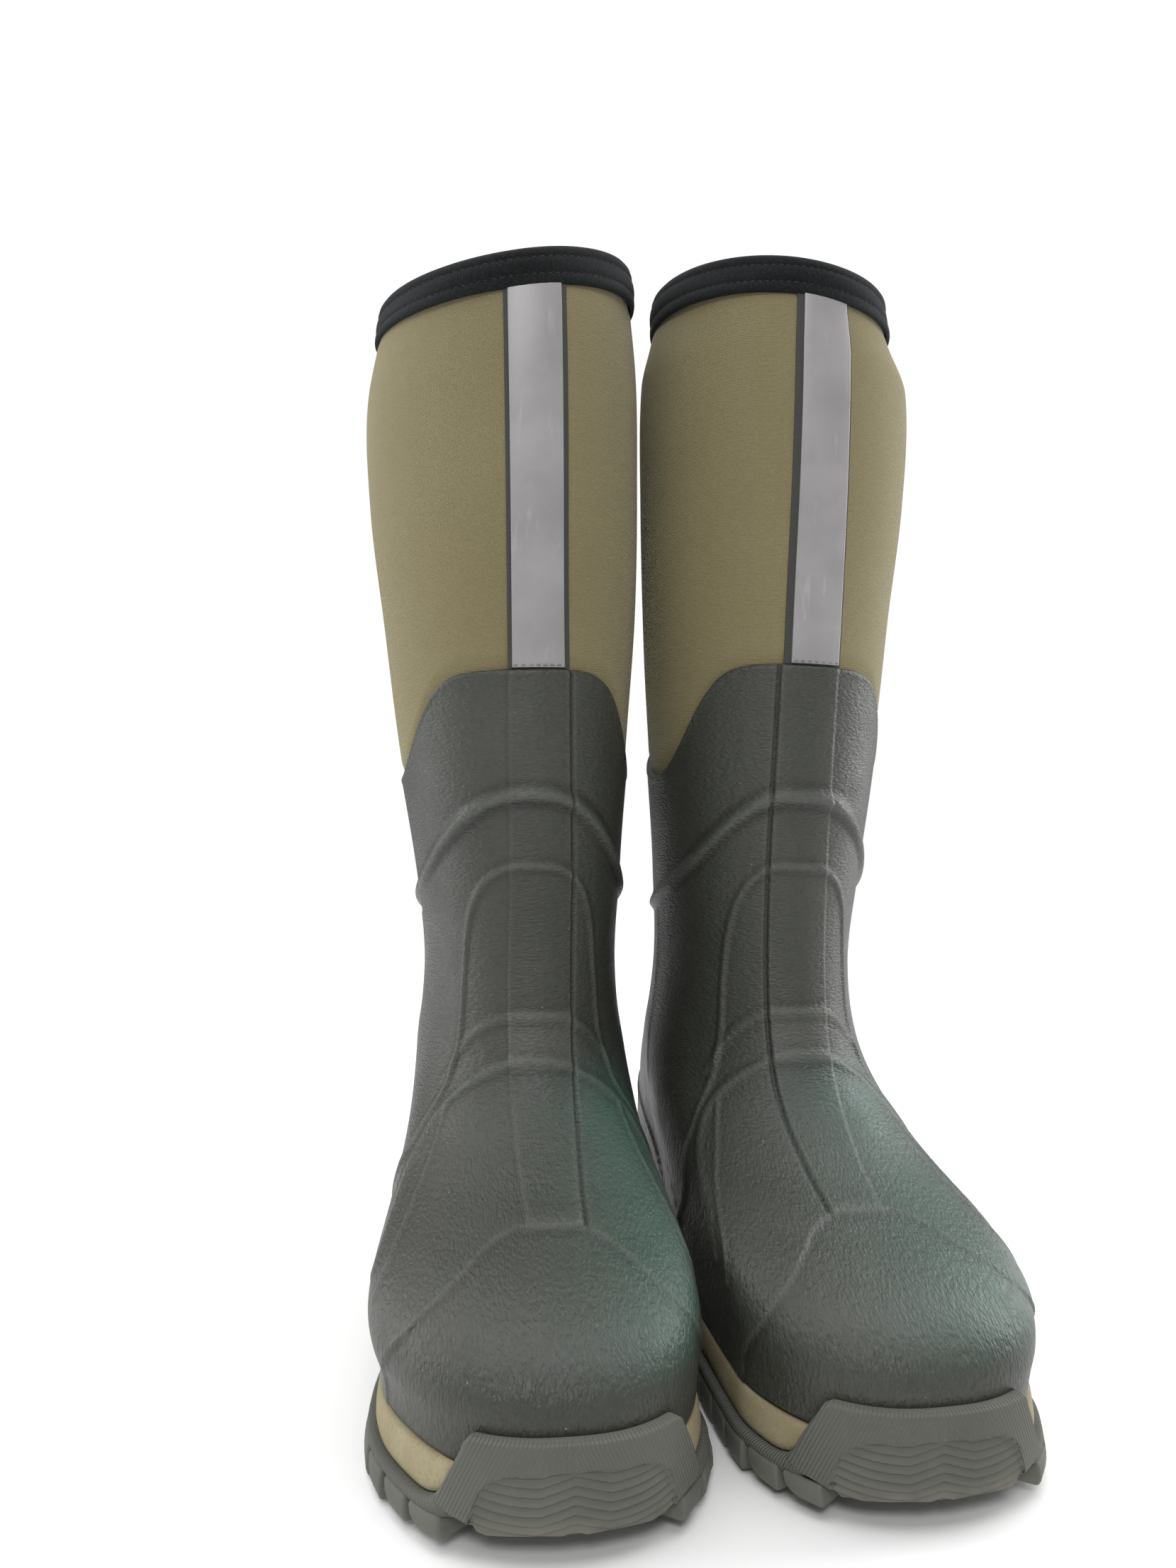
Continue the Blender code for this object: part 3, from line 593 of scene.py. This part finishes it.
def midsole(side, material):
    columns = 420
    run = np.linspace(RUN[0], RUN[-1], columns, endpoint=False)
    turn = np.interp(run, RUN, RUN_TURN)
    # The foot of the wedge curves up to a rounded end beside the bumper.
    low, high = 12.5 + wedge_curl(run), WEDGE_TOP + 0.1
    share = np.array([0, 0.03, 0.09, 0.24, 0.45, 0.66, 0.83, 0.94, 1.0, 1.0])[:, None]
    z = low + (high - low) * share
    bulge = np.array([3.5, 0.3, -0.5, -0.9, -0.9, -0.6, -0.3, 0.2, 1.0, 4.0])[:, None] + 0 * turn
    points = np.stack([sole_outline(row, turn) for row in bulge + 2.6 * (wedge_away(run) < 0)])
    points[..., 2] = z
    made = Skin(side)
    made.grid(points, uv=surface_at(run, z))
    piece = made.make("midsole_foam", material, "midsole")


def chevron_relief(run, z):
    """The lapped, wavy ribs of the panel in the bumper, each proud at its lower edge."""
    away = np.abs(run - 2)
    wave = -2.9 * np.clip(away / 9.5, 0, 1) + 0.006 * np.clip(away - 9.5, 0, None) ** 2
    step = (z - 28.6 - wave) / 2.65
    lap = step - np.floor(step)
    return np.where(step < 1, 0.95 * (1 - lap) * ease(0, 0.12, lap), 0.25)


def panel_inside(run, z):
    """Positive inside the panel of the bumper, in millimetres from its border."""
    border = np.array([(0, 27.6), (14, 27.3), (20, 26.4), (24, 24.4), (27.2, 21), (29.3, 15), (30.5, 9),
                       (31.5, 4)])
    away = np.abs(run - 3)
    side_run = np.interp(z, border[::-1, 1], border[::-1, 0])
    top = np.interp(away, border[:, 0], border[:, 1])
    return np.minimum(side_run - away, top - z)


def bumper(made):
    """The wall that wraps the toe, with its ribbed panel."""
    columns, rows = 236, 120
    across = np.linspace(-1, 1, columns)
    up = np.linspace(0, 1, rows)[:, None]
    toe_foot = 1.2 + float(toe_rise(sole_outline(-BUMPER_PROUD, np.zeros(1))[0, 1]))
    level = toe_foot + (BUMPER_TOP - toe_foot) * up
    outer, inner = through(BUMPER_SIDES, 1, level), through(BUMPER_SIDES, 2, level)
    run = np.where(across < 0, outer * across, inner * across)
    turn = np.interp(run, RUN, RUN_TURN)
    edge_level = np.full(turn.shape, EDGE_LEVEL)
    rise = toe_rise(layer(turn, edge_level, np.full(turn.shape, -BUMPER_PROUD), level=True)[..., 1])
    # The foot of the wall follows the sole's curl from the toe back to the sides.
    z = level + (1.2 + rise + 1.5 - toe_foot) * (1 - up) ** 3 * (rise < toe_foot)
    inside = panel_inside(run, z)
    border = np.minimum((1 - np.abs(across)) * np.where(across < 0, outer, inner) * 0.92, BUMPER_TOP - z)
    face = 2.5 + chevron_relief(run, z)
    proud = np.where(inside > 0, face + (3.9 - face) * (1 - ease(0, 0.8, inside)), 3.9)
    proud = proud - 0.9 * (1 - ease(0, 1.1, border)) - 1.1 * (1 - ease(0, 6, z - z[:1])) ** 1.5
    proud[:, [0, -1]] -= 3.2
    points = layer(turn, edge_level, -proud, level=True)
    points[..., 2] = z
    # Over the top the wall turns in to the rubber.
    top_turn = turn[-1]
    lip, back = sole_outline(-0.9, top_turn), sole_outline(0.8, top_turn)
    lip[:, 2], back[:, 2] = BUMPER_TOP + 0.25, BUMPER_TOP - 0.6
    deep = sole_outline(16, turn[0])
    deep[:, 2] = z[0] + 0.4
    hatch = (inside <= 0.3) * 1.0
    lines = -np.abs(run - 2) * 0.9 - z * 0.42
    uv = surface_at(lines, z)
    made.grid(np.concatenate([deep[None], points, lip[None], back[None]]), closed=False,
              uv=np.concatenate([uv[:1], uv, uv[-1:], uv[-1:]]), hatch=np.pad(hatch, ((1, 2), (0, 0))),
              wear=np.pad(1 - ease(0, 6, z - z[:1]), ((1, 2), (0, 0))))


def slab(made):
    """The outsole's body: its ribbed foxing edge and its underside."""
    columns = 620
    run = np.linspace(RUN[0], RUN[-1], columns, endpoint=False)
    turn = np.interp(run, RUN, RUN_TURN)
    rise = toe_rise(sole_outline(-SOLE_PROUD, turn)[:, 1])
    # Beside the bumper the foxing climbs round the rounded end of the wedge.
    climb = wedge_curl(run)
    toe = 1 - ease(-4, 2, wedge_away(run))
    level = np.array([12.3, 12.8, 13.0, 12.7, 12.0, 10.6, 9.9, 9.1, 7.5, 6.0])
    lifted = np.array([1, 1, 1, 0.95, 0.8, 0.35, 0.15, 0, 0, 0])
    depth = np.array([6.0, -0.2, -1.6, -2.9, -3.5, -3.7, -3.2, -2.4, -1.9, -1.5])
    ground = LUG_DEPTH + rise
    rows = [sole_outline(row + 1.6 * toe, turn) for row in depth]
    heights = [np.maximum(z + share * climb, ground + 1.0 + 0.15 * (9 - k))
               for k, (z, share) in enumerate(zip(level, lifted))]
    rows.append(sole_outline(0.2 + 1.6 * toe, turn))
    heights.append(ground + 0.6)
    for inset in (1.5, 8.0, 20.0, 34.0):
        rows.append(sole_outline(inset + 1.6 * toe, turn))
        heights.append(LUG_DEPTH + toe_rise(rows[-1][:, 1]))
    points = np.stack(rows)
    points[..., 2] = np.stack(heights)
    middle = points[-1].copy()
    middle[:, 0] *= 0.05
    middle[:, 2] = LUG_DEPTH + toe_rise(middle[:, 1])
    points = np.concatenate([points, middle[None]])[::-1]
    z = points[..., 2]
    ribbed = (z > 9.4) * 1.0
    made.grid(points, uv=surface_at(run + 0.45 * z, z), hatch=ribbed, wear=0.0 * z)


def rounded(half, low, high, radius, corner):
    """A rectangle with round corners as (along, across); corner: angles round one corner in degrees."""
    ring = []
    for u, v, start in ((1, 1, 0), (-1, 1, 90), (-1, -1, 180), (1, -1, 270)):
        for a in np.radians(corner) + math.radians(start):
            ring.append((u * (half - radius) + radius * math.cos(a),
                         (high - radius if v > 0 else low + radius) + radius * math.sin(a)))
    return np.array(ring)


def lug(made, run, way, width=13.6, proud=0.9, reach=16.0, top=10.6):
    """A tooth of the tread under the edge; its tip points down towards the toe."""
    turn = float(np.interp(run, RUN, RUN_TURN))
    here, ahead = sole_outline(0, np.array([turn, turn + 1e-3]))
    tangent = way * (ahead - here) / np.linalg.norm(ahead - here)
    out = np.array([tangent[1], -tangent[0], 0.0]) * way
    rise = float(toe_rise(here[1]))
    far = SOLE_PROUD + proud
    # share of the height, front and back edge as shares of the width, how far out, how far in
    sections = (
        (1.0, -0.46, 0.46, SOLE_PROUD - 0.4, reach), (0.94, -0.50, 0.48, far - 0.5, reach),
        (0.82, -0.52, 0.49, far, reach), (0.50, -0.56, 0.42, far + 0.3, reach),
        (0.26, -0.58, 0.28, far + 0.3, reach - 1), (0.08, -0.57, 0.12, far - 0.3, reach - 1.5),
        (0.0, -0.50, 0.02, far - 1.4, reach - 2.3), (0.0, -0.35, -0.12, 0.5, reach - 5))
    rows = []
    for share, near_toe, near_heel, far, near in sections:
        half = width * (near_heel - near_toe) / 2
        ring = rounded(half, -near, far, min(1.2, half * 0.6), (8, 30, 60, 82))
        ring[:, 0] += width * (near_toe + near_heel) / 2
        row = here * (1, 1, 0) + ring[:, :1] * tangent + ring[:, 1:] * out
        row[:, 2] = rise + share * (top - rise)
        rows.append(row)
    points = np.array(rows)[::-1]
    if way < 0:
        points = points[:, ::-1]
    wear = np.clip(1 - (points[..., 2] - rise) / 3.5, 0, 1)
    made.grid(points, uv=points[..., :2] / 10, hatch=0.0 * wear, wear=wear)


def tread_bar(made, x, y, length, width, skew):
    """A slanted bar under the middle of the sole."""
    angle = math.radians(skew)
    along = np.array([math.cos(angle), math.sin(angle)])
    across = np.array([-math.sin(angle), math.cos(angle)])
    rows = []
    for height, grow in ((LUG_DEPTH + 3, 0.6), (2.0, 0.2), (0.6, 0.0), (0.0, -0.6), (0.0, -2.5)):
        half = width / 2 + grow
        ring = rounded(length / 2 + grow, -half, half, 1.4, (5, 45, 85))
        flat = np.array([x, y]) + ring[:, :1] * along + ring[:, 1:] * across
        z = height + toe_rise(flat[:, 1]) * (height < LUG_DEPTH)
        rows.append(np.column_stack([flat, z]))
    points = np.array(rows)[::-1]
    made.grid(points, uv=points[..., :2] / 10, hatch=0.0 * points[..., 0], wear=0.5 + 0.0 * points[..., 0])


def outsole(side, material):
    made = Skin(side)
    bumper(made)
    slab(made)
    for way in (1, -1):
        for at in (*(42.0 + 15.0 * k for k in range(9)), *(222.0 + 15.0 * k for k in range(6))):
            lug(made, way * at, way)
    lug(made, RUN[-1] - 1e-3, 1, width=15)
    for y in (-128, -105, -82, -59):
        tread_bar(made, -22, y, 30, 9, 20)
        tread_bar(made, 14, y, 30, 9, -20)
    for y in (42, 60, 78):
        tread_bar(made, 0, y, 34, 9, 0)
    return made.make("outsole_tread", material, "outsole", smooth_angle=48)


def footbed(side, material):
    turn = even_columns(200)
    inside = 2.5 + 0.9 + 1.5 + 4.5 + 1.5 + 5.2
    rows = []
    for inset, height in ((0.6, 36.9), (0.0, 38.0), (0.0, 41.0), (0.5, 42.4), (1.6, 43.0), (4, 42.9),
                          (8, 42.5), (14, 42.1), (22, 41.9), (30, 41.9)):
        ring = sole_outline(inside + inset, turn)
        ring[:, 2] = height
        rows.append(ring)
    middle = rows[-1].copy()
    middle[:, 0] *= 0.04
    rows.append(middle)
    made = Skin(side)
    points = np.array(rows)
    made.grid(points, uv=points[..., :2] / 10)
    piece = made.make("footbed_foam", material, "footbed", body=f"{side}_insole")


# -------------------- materials


class Look:
    """A Principled material and short ways to add texture nodes to it."""

    def __init__(self, name, roughness, specular=0.5, **sockets):
        self.material = bpy.data.materials.new(name)
        self.material.use_nodes = True
        self.nodes, self.links = self.material.node_tree.nodes, self.material.node_tree.links
        self.shader = self.nodes["Principled BSDF"]
        self.shader.inputs["Roughness"].default_value = roughness
        self.shader.inputs["Specular IOR Level"].default_value = specular
        for socket, value in sockets.items():
            self.shader.inputs[socket.replace("_", " ")].default_value = value
        self.normal = None

    def node(self, kind, **settings):
        made = self.nodes.new(kind)
        for key, value in settings.items():
            setattr(made, key, value)
        return made

    def place(self, scale=(1, 1, 1), uv=False):
        """Coordinates: metres in the piece's own frame, or the surface's own in centimetres."""
        spot = self.node("ShaderNodeUVMap", uv_map="surface") if uv else self.node("ShaderNodeTexCoord")
        mapping = self.node("ShaderNodeMapping")
        mapping.inputs["Scale"].default_value = scale
        self.links.new(spot.outputs["UV" if uv else "Object"], mapping.inputs["Vector"])
        return mapping.outputs["Vector"]

    def noise(self, where, scale, detail=2.0, roughness=0.5, distortion=0.0):
        made = self.node("ShaderNodeTexNoise")
        for socket, value in (("Scale", scale), ("Detail", detail), ("Roughness", roughness),
                              ("Distortion", distortion)):
            made.inputs[socket].default_value = value
        self.links.new(where, made.inputs["Vector"])
        return made.outputs["Fac"]

    def cells(self, where, scale):
        made = self.node("ShaderNodeTexVoronoi")
        made.inputs["Scale"].default_value = scale
        self.links.new(where, made.inputs["Vector"])
        return made.outputs["Distance"]

    def waves(self, where, scale, direction="X", distortion=0.0):
        made = self.node("ShaderNodeTexWave", bands_direction=direction)
        made.inputs["Scale"].default_value = scale
        made.inputs["Distortion"].default_value = distortion
        self.links.new(where, made.inputs["Vector"])
        return made.outputs["Fac"]

    def ramp(self, value, *stops):
        made = self.node("ShaderNodeValToRGB")
        ramp = made.color_ramp
        while len(ramp.elements) < len(stops):
            ramp.elements.new(0.5)
        for element, (position, colour) in zip(ramp.elements, stops):
            element.position = position
            element.color = (*colour, 1) if np.ndim(colour) else (colour, colour, colour, 1)
        self.links.new(value, made.inputs["Fac"])
        return made.outputs["Color"]

    def cloud(self, where, scale, detail):
        """Slow patches, from 0 to 1."""
        return self.ramp(self.noise(where, scale, detail), (0.35, 0.0), (0.7, 1.0))

    def mark(self, name):
        return self.node("ShaderNodeAttribute", attribute_name=name).outputs["Fac"]

    def times(self, a, b):
        made = self.node("ShaderNodeMath", operation="MULTIPLY")
        for socket, value in zip(made.inputs, (a, b)):
            if isinstance(value, (int, float)):
                socket.default_value = value
            else:
                self.links.new(value, socket)
        return made.outputs["Value"]

    def mix(self, share, a, b, blend="MIX"):
        made = self.node("ShaderNodeMix", data_type="RGBA", blend_type=blend)
        for socket, value in ((made.inputs[0], share), (made.inputs[6], a), (made.inputs[7], b)):
            if isinstance(value, (int, float)):
                socket.default_value = value
            elif isinstance(value, tuple):
                socket.default_value = (*value, 1)
            else:
                self.links.new(value, socket)
        return made.outputs[2]

    def bump(self, height, distance, strength=1.0):
        """Adds a bump on top of those before it. distance is in metres."""
        made = self.node("ShaderNodeBump")
        made.inputs["Strength"].default_value = strength
        made.inputs["Distance"].default_value = distance
        self.links.new(height, made.inputs["Height"])
        if self.normal is not None:
            self.links.new(self.normal, made.inputs["Normal"])
        self.normal = made.outputs["Normal"]

    def finish(self, colour=None, roughness=None):
        if colour is not None:
            self.links.new(colour, self.shader.inputs["Base Color"])
        if roughness is not None:
            self.links.new(roughness, self.shader.inputs["Roughness"])
        if self.normal is not None:
            self.links.new(self.normal, self.shader.inputs["Normal"])
        return self.material


def rubber_look():
    look = Look("moulded_rubber", 0.46, specular=0.5)
    where = look.place()
    fine = look.noise(where, 420, 3)
    colour = look.mix(look.cloud(where, 14, 3), (0.036, 0.039, 0.031), (0.047, 0.050, 0.040))
    # Painted green reflection: one broad patch on the +X side of each instep.
    colour = look.mix(look.times(look.mark("bloom"), 0.75), colour, (0.036, 0.100, 0.076))
    colour = look.mix(look.times(look.mark("patch"), 0.5), colour, (0.085, 0.088, 0.078))
    # Painted highlight on the crests of the moulded lines.
    colour = look.mix(look.times(look.mark("crest"), 0.45), colour, (0.115, 0.122, 0.105))
    # Painted shade in the hollows and grooves of the moulded lines.
    colour = look.mix(look.times(look.mark("hollow"), 0.75), colour, (0.014, 0.015, 0.013))
    colour = look.mix(look.ramp(fine, (0.30, 0.3), (0.5, 0.0)), colour, (0.020, 0.022, 0.018))
    dust = look.cells(where, 95)
    colour = look.mix(look.ramp(dust, (0.018, 0.5), (0.035, 0.0)), colour, (0.30, 0.31, 0.28))
    # Grain: short wrinkles lying level on the shaft and running fore and aft on the foot.
    level = look.noise(look.place((0.45, 0.45, 1.3)), 950, 2, 0.5, 0.4)
    along = look.noise(look.place((1.3, 0.5, 0.5)), 820, 2, 0.5, 0.4)
    grain = look.mix(look.mark("flow"), along, level)
    look.bump(look.ramp(grain, (0.34, 0.0), (0.66, 1.0)), 0.00028, 0.85)
    look.bump(look.noise(where, 1900, 1), 0.00008, 0.5)
    rough = look.ramp(look.noise(where, 60, 4), (0.3, 0.40), (0.75, 0.52))
    return look.finish(colour, rough)


def neoprene_look():
    look = Look("neoprene_face", 0.92, specular=0.25, Sheen_Weight=0.35, Sheen_Roughness=0.45)
    look.shader.inputs["Sheen Tint"].default_value = (0.80, 0.80, 0.62, 1)
    where = look.place()
    colour = look.mix(look.cloud(where, 9, 3), (0.232, 0.196, 0.100), (0.262, 0.228, 0.124))
    rows = look.waves(look.place(uv=True), 4.6, "Y", 0.25)
    colour = look.mix(look.times(look.ramp(rows, (0.25, 1.0), (0.75, 0.0)), 0.22), colour,
                      (0.135, 0.115, 0.060))
    fleck = look.noise(where, 1700, 2)
    colour = look.mix(look.ramp(fleck, (0.38, 0.35), (0.55, 0.0)), colour, (0.150, 0.125, 0.062))
    look.bump(look.noise(where, 45, 3), 0.0006, 0.5)
    look.bump(rows, 0.00022, 0.8)
    look.bump(look.waves(look.place(uv=True), 4.9, "X", 0.4), 0.00012, 0.5)
    look.bump(fleck, 0.00012, 0.6)
    return look.finish(colour)


def stretch_look():
    look = Look("stretch_fabric", 0.9, specular=0.18, Sheen_Weight=0.06, Sheen_Roughness=0.5)
    look.shader.inputs["Sheen Tint"].default_value = (0.6, 0.62, 0.65, 1)
    where = look.place()
    colour = look.mix(look.cloud(where, 25, 3), (0.006, 0.0065, 0.007), (0.011, 0.012, 0.013))
    fleck = look.noise(where, 1600, 2)
    colour = look.mix(look.ramp(fleck, (0.5, 0.0), (0.66, 0.5)), colour, (0.030, 0.032, 0.034))
    look.bump(look.waves(look.place(uv=True), 5.4, "X", 0.5), 0.00016, 0.7)
    look.bump(fleck, 0.00010, 0.6)
    return look.finish(colour)


def thread_look(name, dark, light):
    look = Look(name, 0.75, specular=0.35)
    where = look.place()
    look.bump(look.noise(where, 2600, 1), 0.00006, 0.8)
    return look.finish(look.mix(look.noise(where, 300, 2), dark, light))


def tape_look():
    look = Look("woven_tape", 0.8, specular=0.3)
    where = look.place(uv=True)
    weave = look.waves(where, 5.6, "Y", 0.2)
    colour = look.mix(weave, (0.042, 0.045, 0.040), (0.066, 0.069, 0.062))
    look.bump(weave, 0.00015, 0.7)
    look.bump(look.waves(where, 5.6, "X", 0.2), 0.00010, 0.6)
    return look.finish(colour)


def film_look():
    look = Look("reflective_film", 0.42, specular=0.45, Metallic=0.15)
    where = look.place()
    cloud = look.noise(where, 38, 4, 0.6)
    bright = look.ramp(cloud, (0.35, 0.0), (0.72, 1.0))
    colour = look.mix(bright, (0.300, 0.286, 0.290), (0.350, 0.337, 0.340))
    scuff = look.noise(look.place((1, 1, 0.15)), 260, 4, 0.6)
    colour = look.mix(look.ramp(scuff, (0.62, 0.0), (0.78, 0.4)), colour, (0.52, 0.51, 0.51))
    look.bump(cloud, 0.00025, 0.5)
    look.bump(look.noise(where, 1900, 1), 0.00003, 0.5)
    rough = look.ramp(cloud, (0.3, 0.36), (0.75, 0.52))
    return look.finish(colour, rough)


def foam_look():
    look = Look("midsole_foam", 0.9, specular=0.25)
    where = look.place()
    colour = look.mix(look.cloud(where, 60, 4), (0.300, 0.255, 0.155), (0.370, 0.325, 0.210))
    speck = look.noise(where, 900, 2, 0.7)
    colour = look.mix(look.ramp(speck, (0.34, 0.5), (0.5, 0.0)), colour, (0.24, 0.20, 0.115))
    look.bump(speck, 0.00022, 0.8)
    look.bump(look.noise(where, 120, 3), 0.0004, 0.4)
    return look.finish(colour)


def outsole_look():
    look = Look("outsole_rubber", 0.68, specular=0.35)
    where = look.place()
    colour = look.mix(look.cloud(where, 30, 4), (0.100, 0.104, 0.088), (0.126, 0.129, 0.109))
    surface = look.place(uv=True)
    lines = look.waves(surface, 3.0, "X", 0.0)
    knurl = look.times(lines, look.mark("hatch"))
    colour = look.mix(look.times(knurl, 0.18), colour, (0.165, 0.168, 0.150))
    dusty = look.ramp(look.noise(where, 90, 3), (0.3, 0.1), (0.7, 0.75))
    colour = look.mix(look.times(look.mark("wear"), dusty), colour, (0.190, 0.178, 0.148))
    look.bump(knurl, 0.00045, 0.9)
    look.bump(look.noise(where, 700, 3), 0.00014, 0.6)
    look.bump(look.noise(surface, 3, 2), 0.0003, 0.3)
    return look.finish(colour)


def lining_look():
    look = Look("lining_knit", 1.0, specular=0.15, Sheen_Weight=0.4, Sheen_Roughness=0.6)
    where = look.place()
    loops = look.cells(look.place(uv=True), 9)
    gaps = look.ramp(loops, (0.1, 0.0), (0.6, 1.0))
    colour = look.mix(gaps, (0.055, 0.056, 0.055), (0.028, 0.029, 0.029))
    look.bump(loops, 0.0004, 0.6)
    look.bump(look.noise(where, 1200, 2), 0.00018, 0.7)
    return look.finish(colour)


def footbed_look():
    look = Look("footbed_fabric", 0.95, specular=0.2, Sheen_Weight=0.3)
    where = look.place(uv=True)
    holes = look.cells(where, 7)
    between = look.ramp(holes, (0.1, 0.0), (0.5, 1.0))
    colour = look.mix(between, (0.030, 0.033, 0.031), (0.070, 0.074, 0.070))
    look.bump(holes, 0.0004, 0.6)
    return look.finish(colour)


def board_look():
    look = Look("fibre_board", 0.85, specular=0.25)
    where = look.place()
    colour = look.mix(look.noise(where, 350, 4), (0.30, 0.24, 0.16), (0.42, 0.35, 0.25))
    look.bump(look.noise(where, 900, 3), 0.0002, 0.6)
    return look.finish(colour)


def steel_look():
    look = Look("shank_steel", 0.34, Metallic=1.0)
    grain = look.noise(look.place((1, 0.05, 1)), 2200, 2)
    look.bump(grain, 0.00003, 0.6)
    return look.finish(look.mix(grain, (0.50, 0.50, 0.52), (0.62, 0.62, 0.63)))


# -------------------- build

rubber, knit, stretch = rubber_look(), neoprene_look(), stretch_look()
tape, film, foam, tread = tape_look(), film_look(), foam_look(), outsole_look()
inner, bed, board, steel = lining_look(), footbed_look(), board_look(), steel_look()
black_thread = thread_look("black_thread", (0.030, 0.032, 0.034), (0.060, 0.063, 0.066))
grey_thread = thread_look("grey_thread", (0.10, 0.10, 0.095), (0.30, 0.30, 0.29))

for side in STANCES:
    rubber_shell(side, rubber)
    neoprene(side, knit)
    lining(side, inner)
    collar(side, stretch)
    collar_stitching(side, black_thread)
    front_tapes(side, tape, film, grey_thread)
    rear_tape(side, tape, black_thread)
    midsole(side, foam)
    outsole(side, tread)
    footbed(side, bed)
    for node in ("insole_board", "heel_counter", "toe_puff", "shank"):
        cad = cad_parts[f"{side}_{node}"]
        cad.data.materials.clear()
        cad.data.materials.append(steel if node == "shank" else board)

# -------------------- stage, light and camera


FLOOR_HALF = 1.3
CAMERA_AT = (-0.1061, -0.4607, 0.2102)
CAMERA_YAW, CAMERA_PITCH, CAMERA_ROLL = 0.164, -0.026, 0.010
CAMERA_LENS, CAMERA_SENSOR = 26.3, 36.0


def floor():
    look = Look("pale_floor", 0.9, specular=0.1)
    where = look.place()
    colour = look.mix(look.noise(where, 3, 2), (0.93, 0.93, 0.93), (0.95, 0.95, 0.95))
    mesh = bpy.data.meshes.new("floor")
    corners = [(x * FLOOR_HALF, y * FLOOR_HALF, 0) for x, y in ((-1, -1), (1, -1), (1, 1), (-1, 1))]
    mesh.from_pydata(corners, [], [(0, 1, 2, 3)])
    made = bpy.data.objects.new("floor", mesh)
    bpy.context.scene.collection.objects.link(made)
    mesh.materials.append(look.finish(colour))


def studio_world():
    """White behind the boots, and a dimmer, even light from all round."""
    world = bpy.data.worlds.new("studio")
    world.use_nodes = True
    nodes, links = world.node_tree.nodes, world.node_tree.links
    seen, cast, mix, path = (nodes["Background"], nodes.new("ShaderNodeBackground"),
                             nodes.new("ShaderNodeMixShader"), nodes.new("ShaderNodeLightPath"))
    for node in (seen, cast):
        node.inputs["Color"].default_value = (1, 1, 1, 1)
    cast.inputs["Strength"].default_value = AMBIENT
    links.new(path.outputs["Is Camera Ray"], mix.inputs["Fac"])
    links.new(cast.outputs["Background"], mix.inputs[1])
    links.new(seen.outputs["Background"], mix.inputs[2])
    links.new(mix.outputs["Shader"], nodes["World Output"].inputs["Surface"])
    bpy.context.scene.world = world


def area_light(name, position, target, size, power):
    light = bpy.data.lights.new(name, "AREA")
    light.shape, light.size, light.size_y = "RECTANGLE", size[0], size[1]
    light.energy = power
    made = bpy.data.objects.new(name, light)
    made.location = position
    made.rotation_euler = (Vector(target) - Vector(position)).to_track_quat("-Z", "Y").to_euler()
    bpy.context.scene.collection.objects.link(made)


def camera():
    """Close and low in front of the toes, a little to the right boot's outer side."""
    yaw, pitch, roll = CAMERA_YAW, CAMERA_PITCH, CAMERA_ROLL
    ahead = Vector((math.sin(yaw) * math.cos(pitch), math.cos(yaw) * math.cos(pitch), -math.sin(pitch)))
    right = Vector((math.cos(yaw), -math.sin(yaw), 0))
    up = right.cross(ahead)
    across = right * math.cos(roll) + up * math.sin(roll)
    upward = up * math.cos(roll) - right * math.sin(roll)
    data = bpy.data.cameras.new("camera")
    data.sensor_fit, data.sensor_width, data.lens = "AUTO", CAMERA_SENSOR, CAMERA_LENS
    data.clip_start, data.clip_end = 0.01, 50
    made = bpy.data.objects.new("camera", data)
    turn = Matrix((across, upward, -ahead)).transposed().to_4x4()
    made.matrix_world = Matrix.Translation(CAMERA_AT) @ turn
    bpy.context.scene.collection.objects.link(made)
    bpy.context.scene.camera = made


floor()
studio_world()
# Overhead sheet for the floor, one soft box each side a little behind, and one high in front.
area_light("overhead", (0, 0.3, 2.4), (0, 0.3, 0), (3.0, 3.0), 62)
area_light("left_side", (-1.5, 0.45, 0.7), (0, 0, 0.2), (0.9, 1.4), 14)
area_light("right_side", (1.5, 0.35, 0.8), (0, 0, 0.2), (0.9, 1.4), 20)
area_light("front", (-0.35, -1.6, 1.5), (0, 0, 0.15), (0.8, 0.5), 14)
camera()
scene = bpy.context.scene
scene.view_settings.view_transform = "Standard"
scene.view_settings.look = "None"
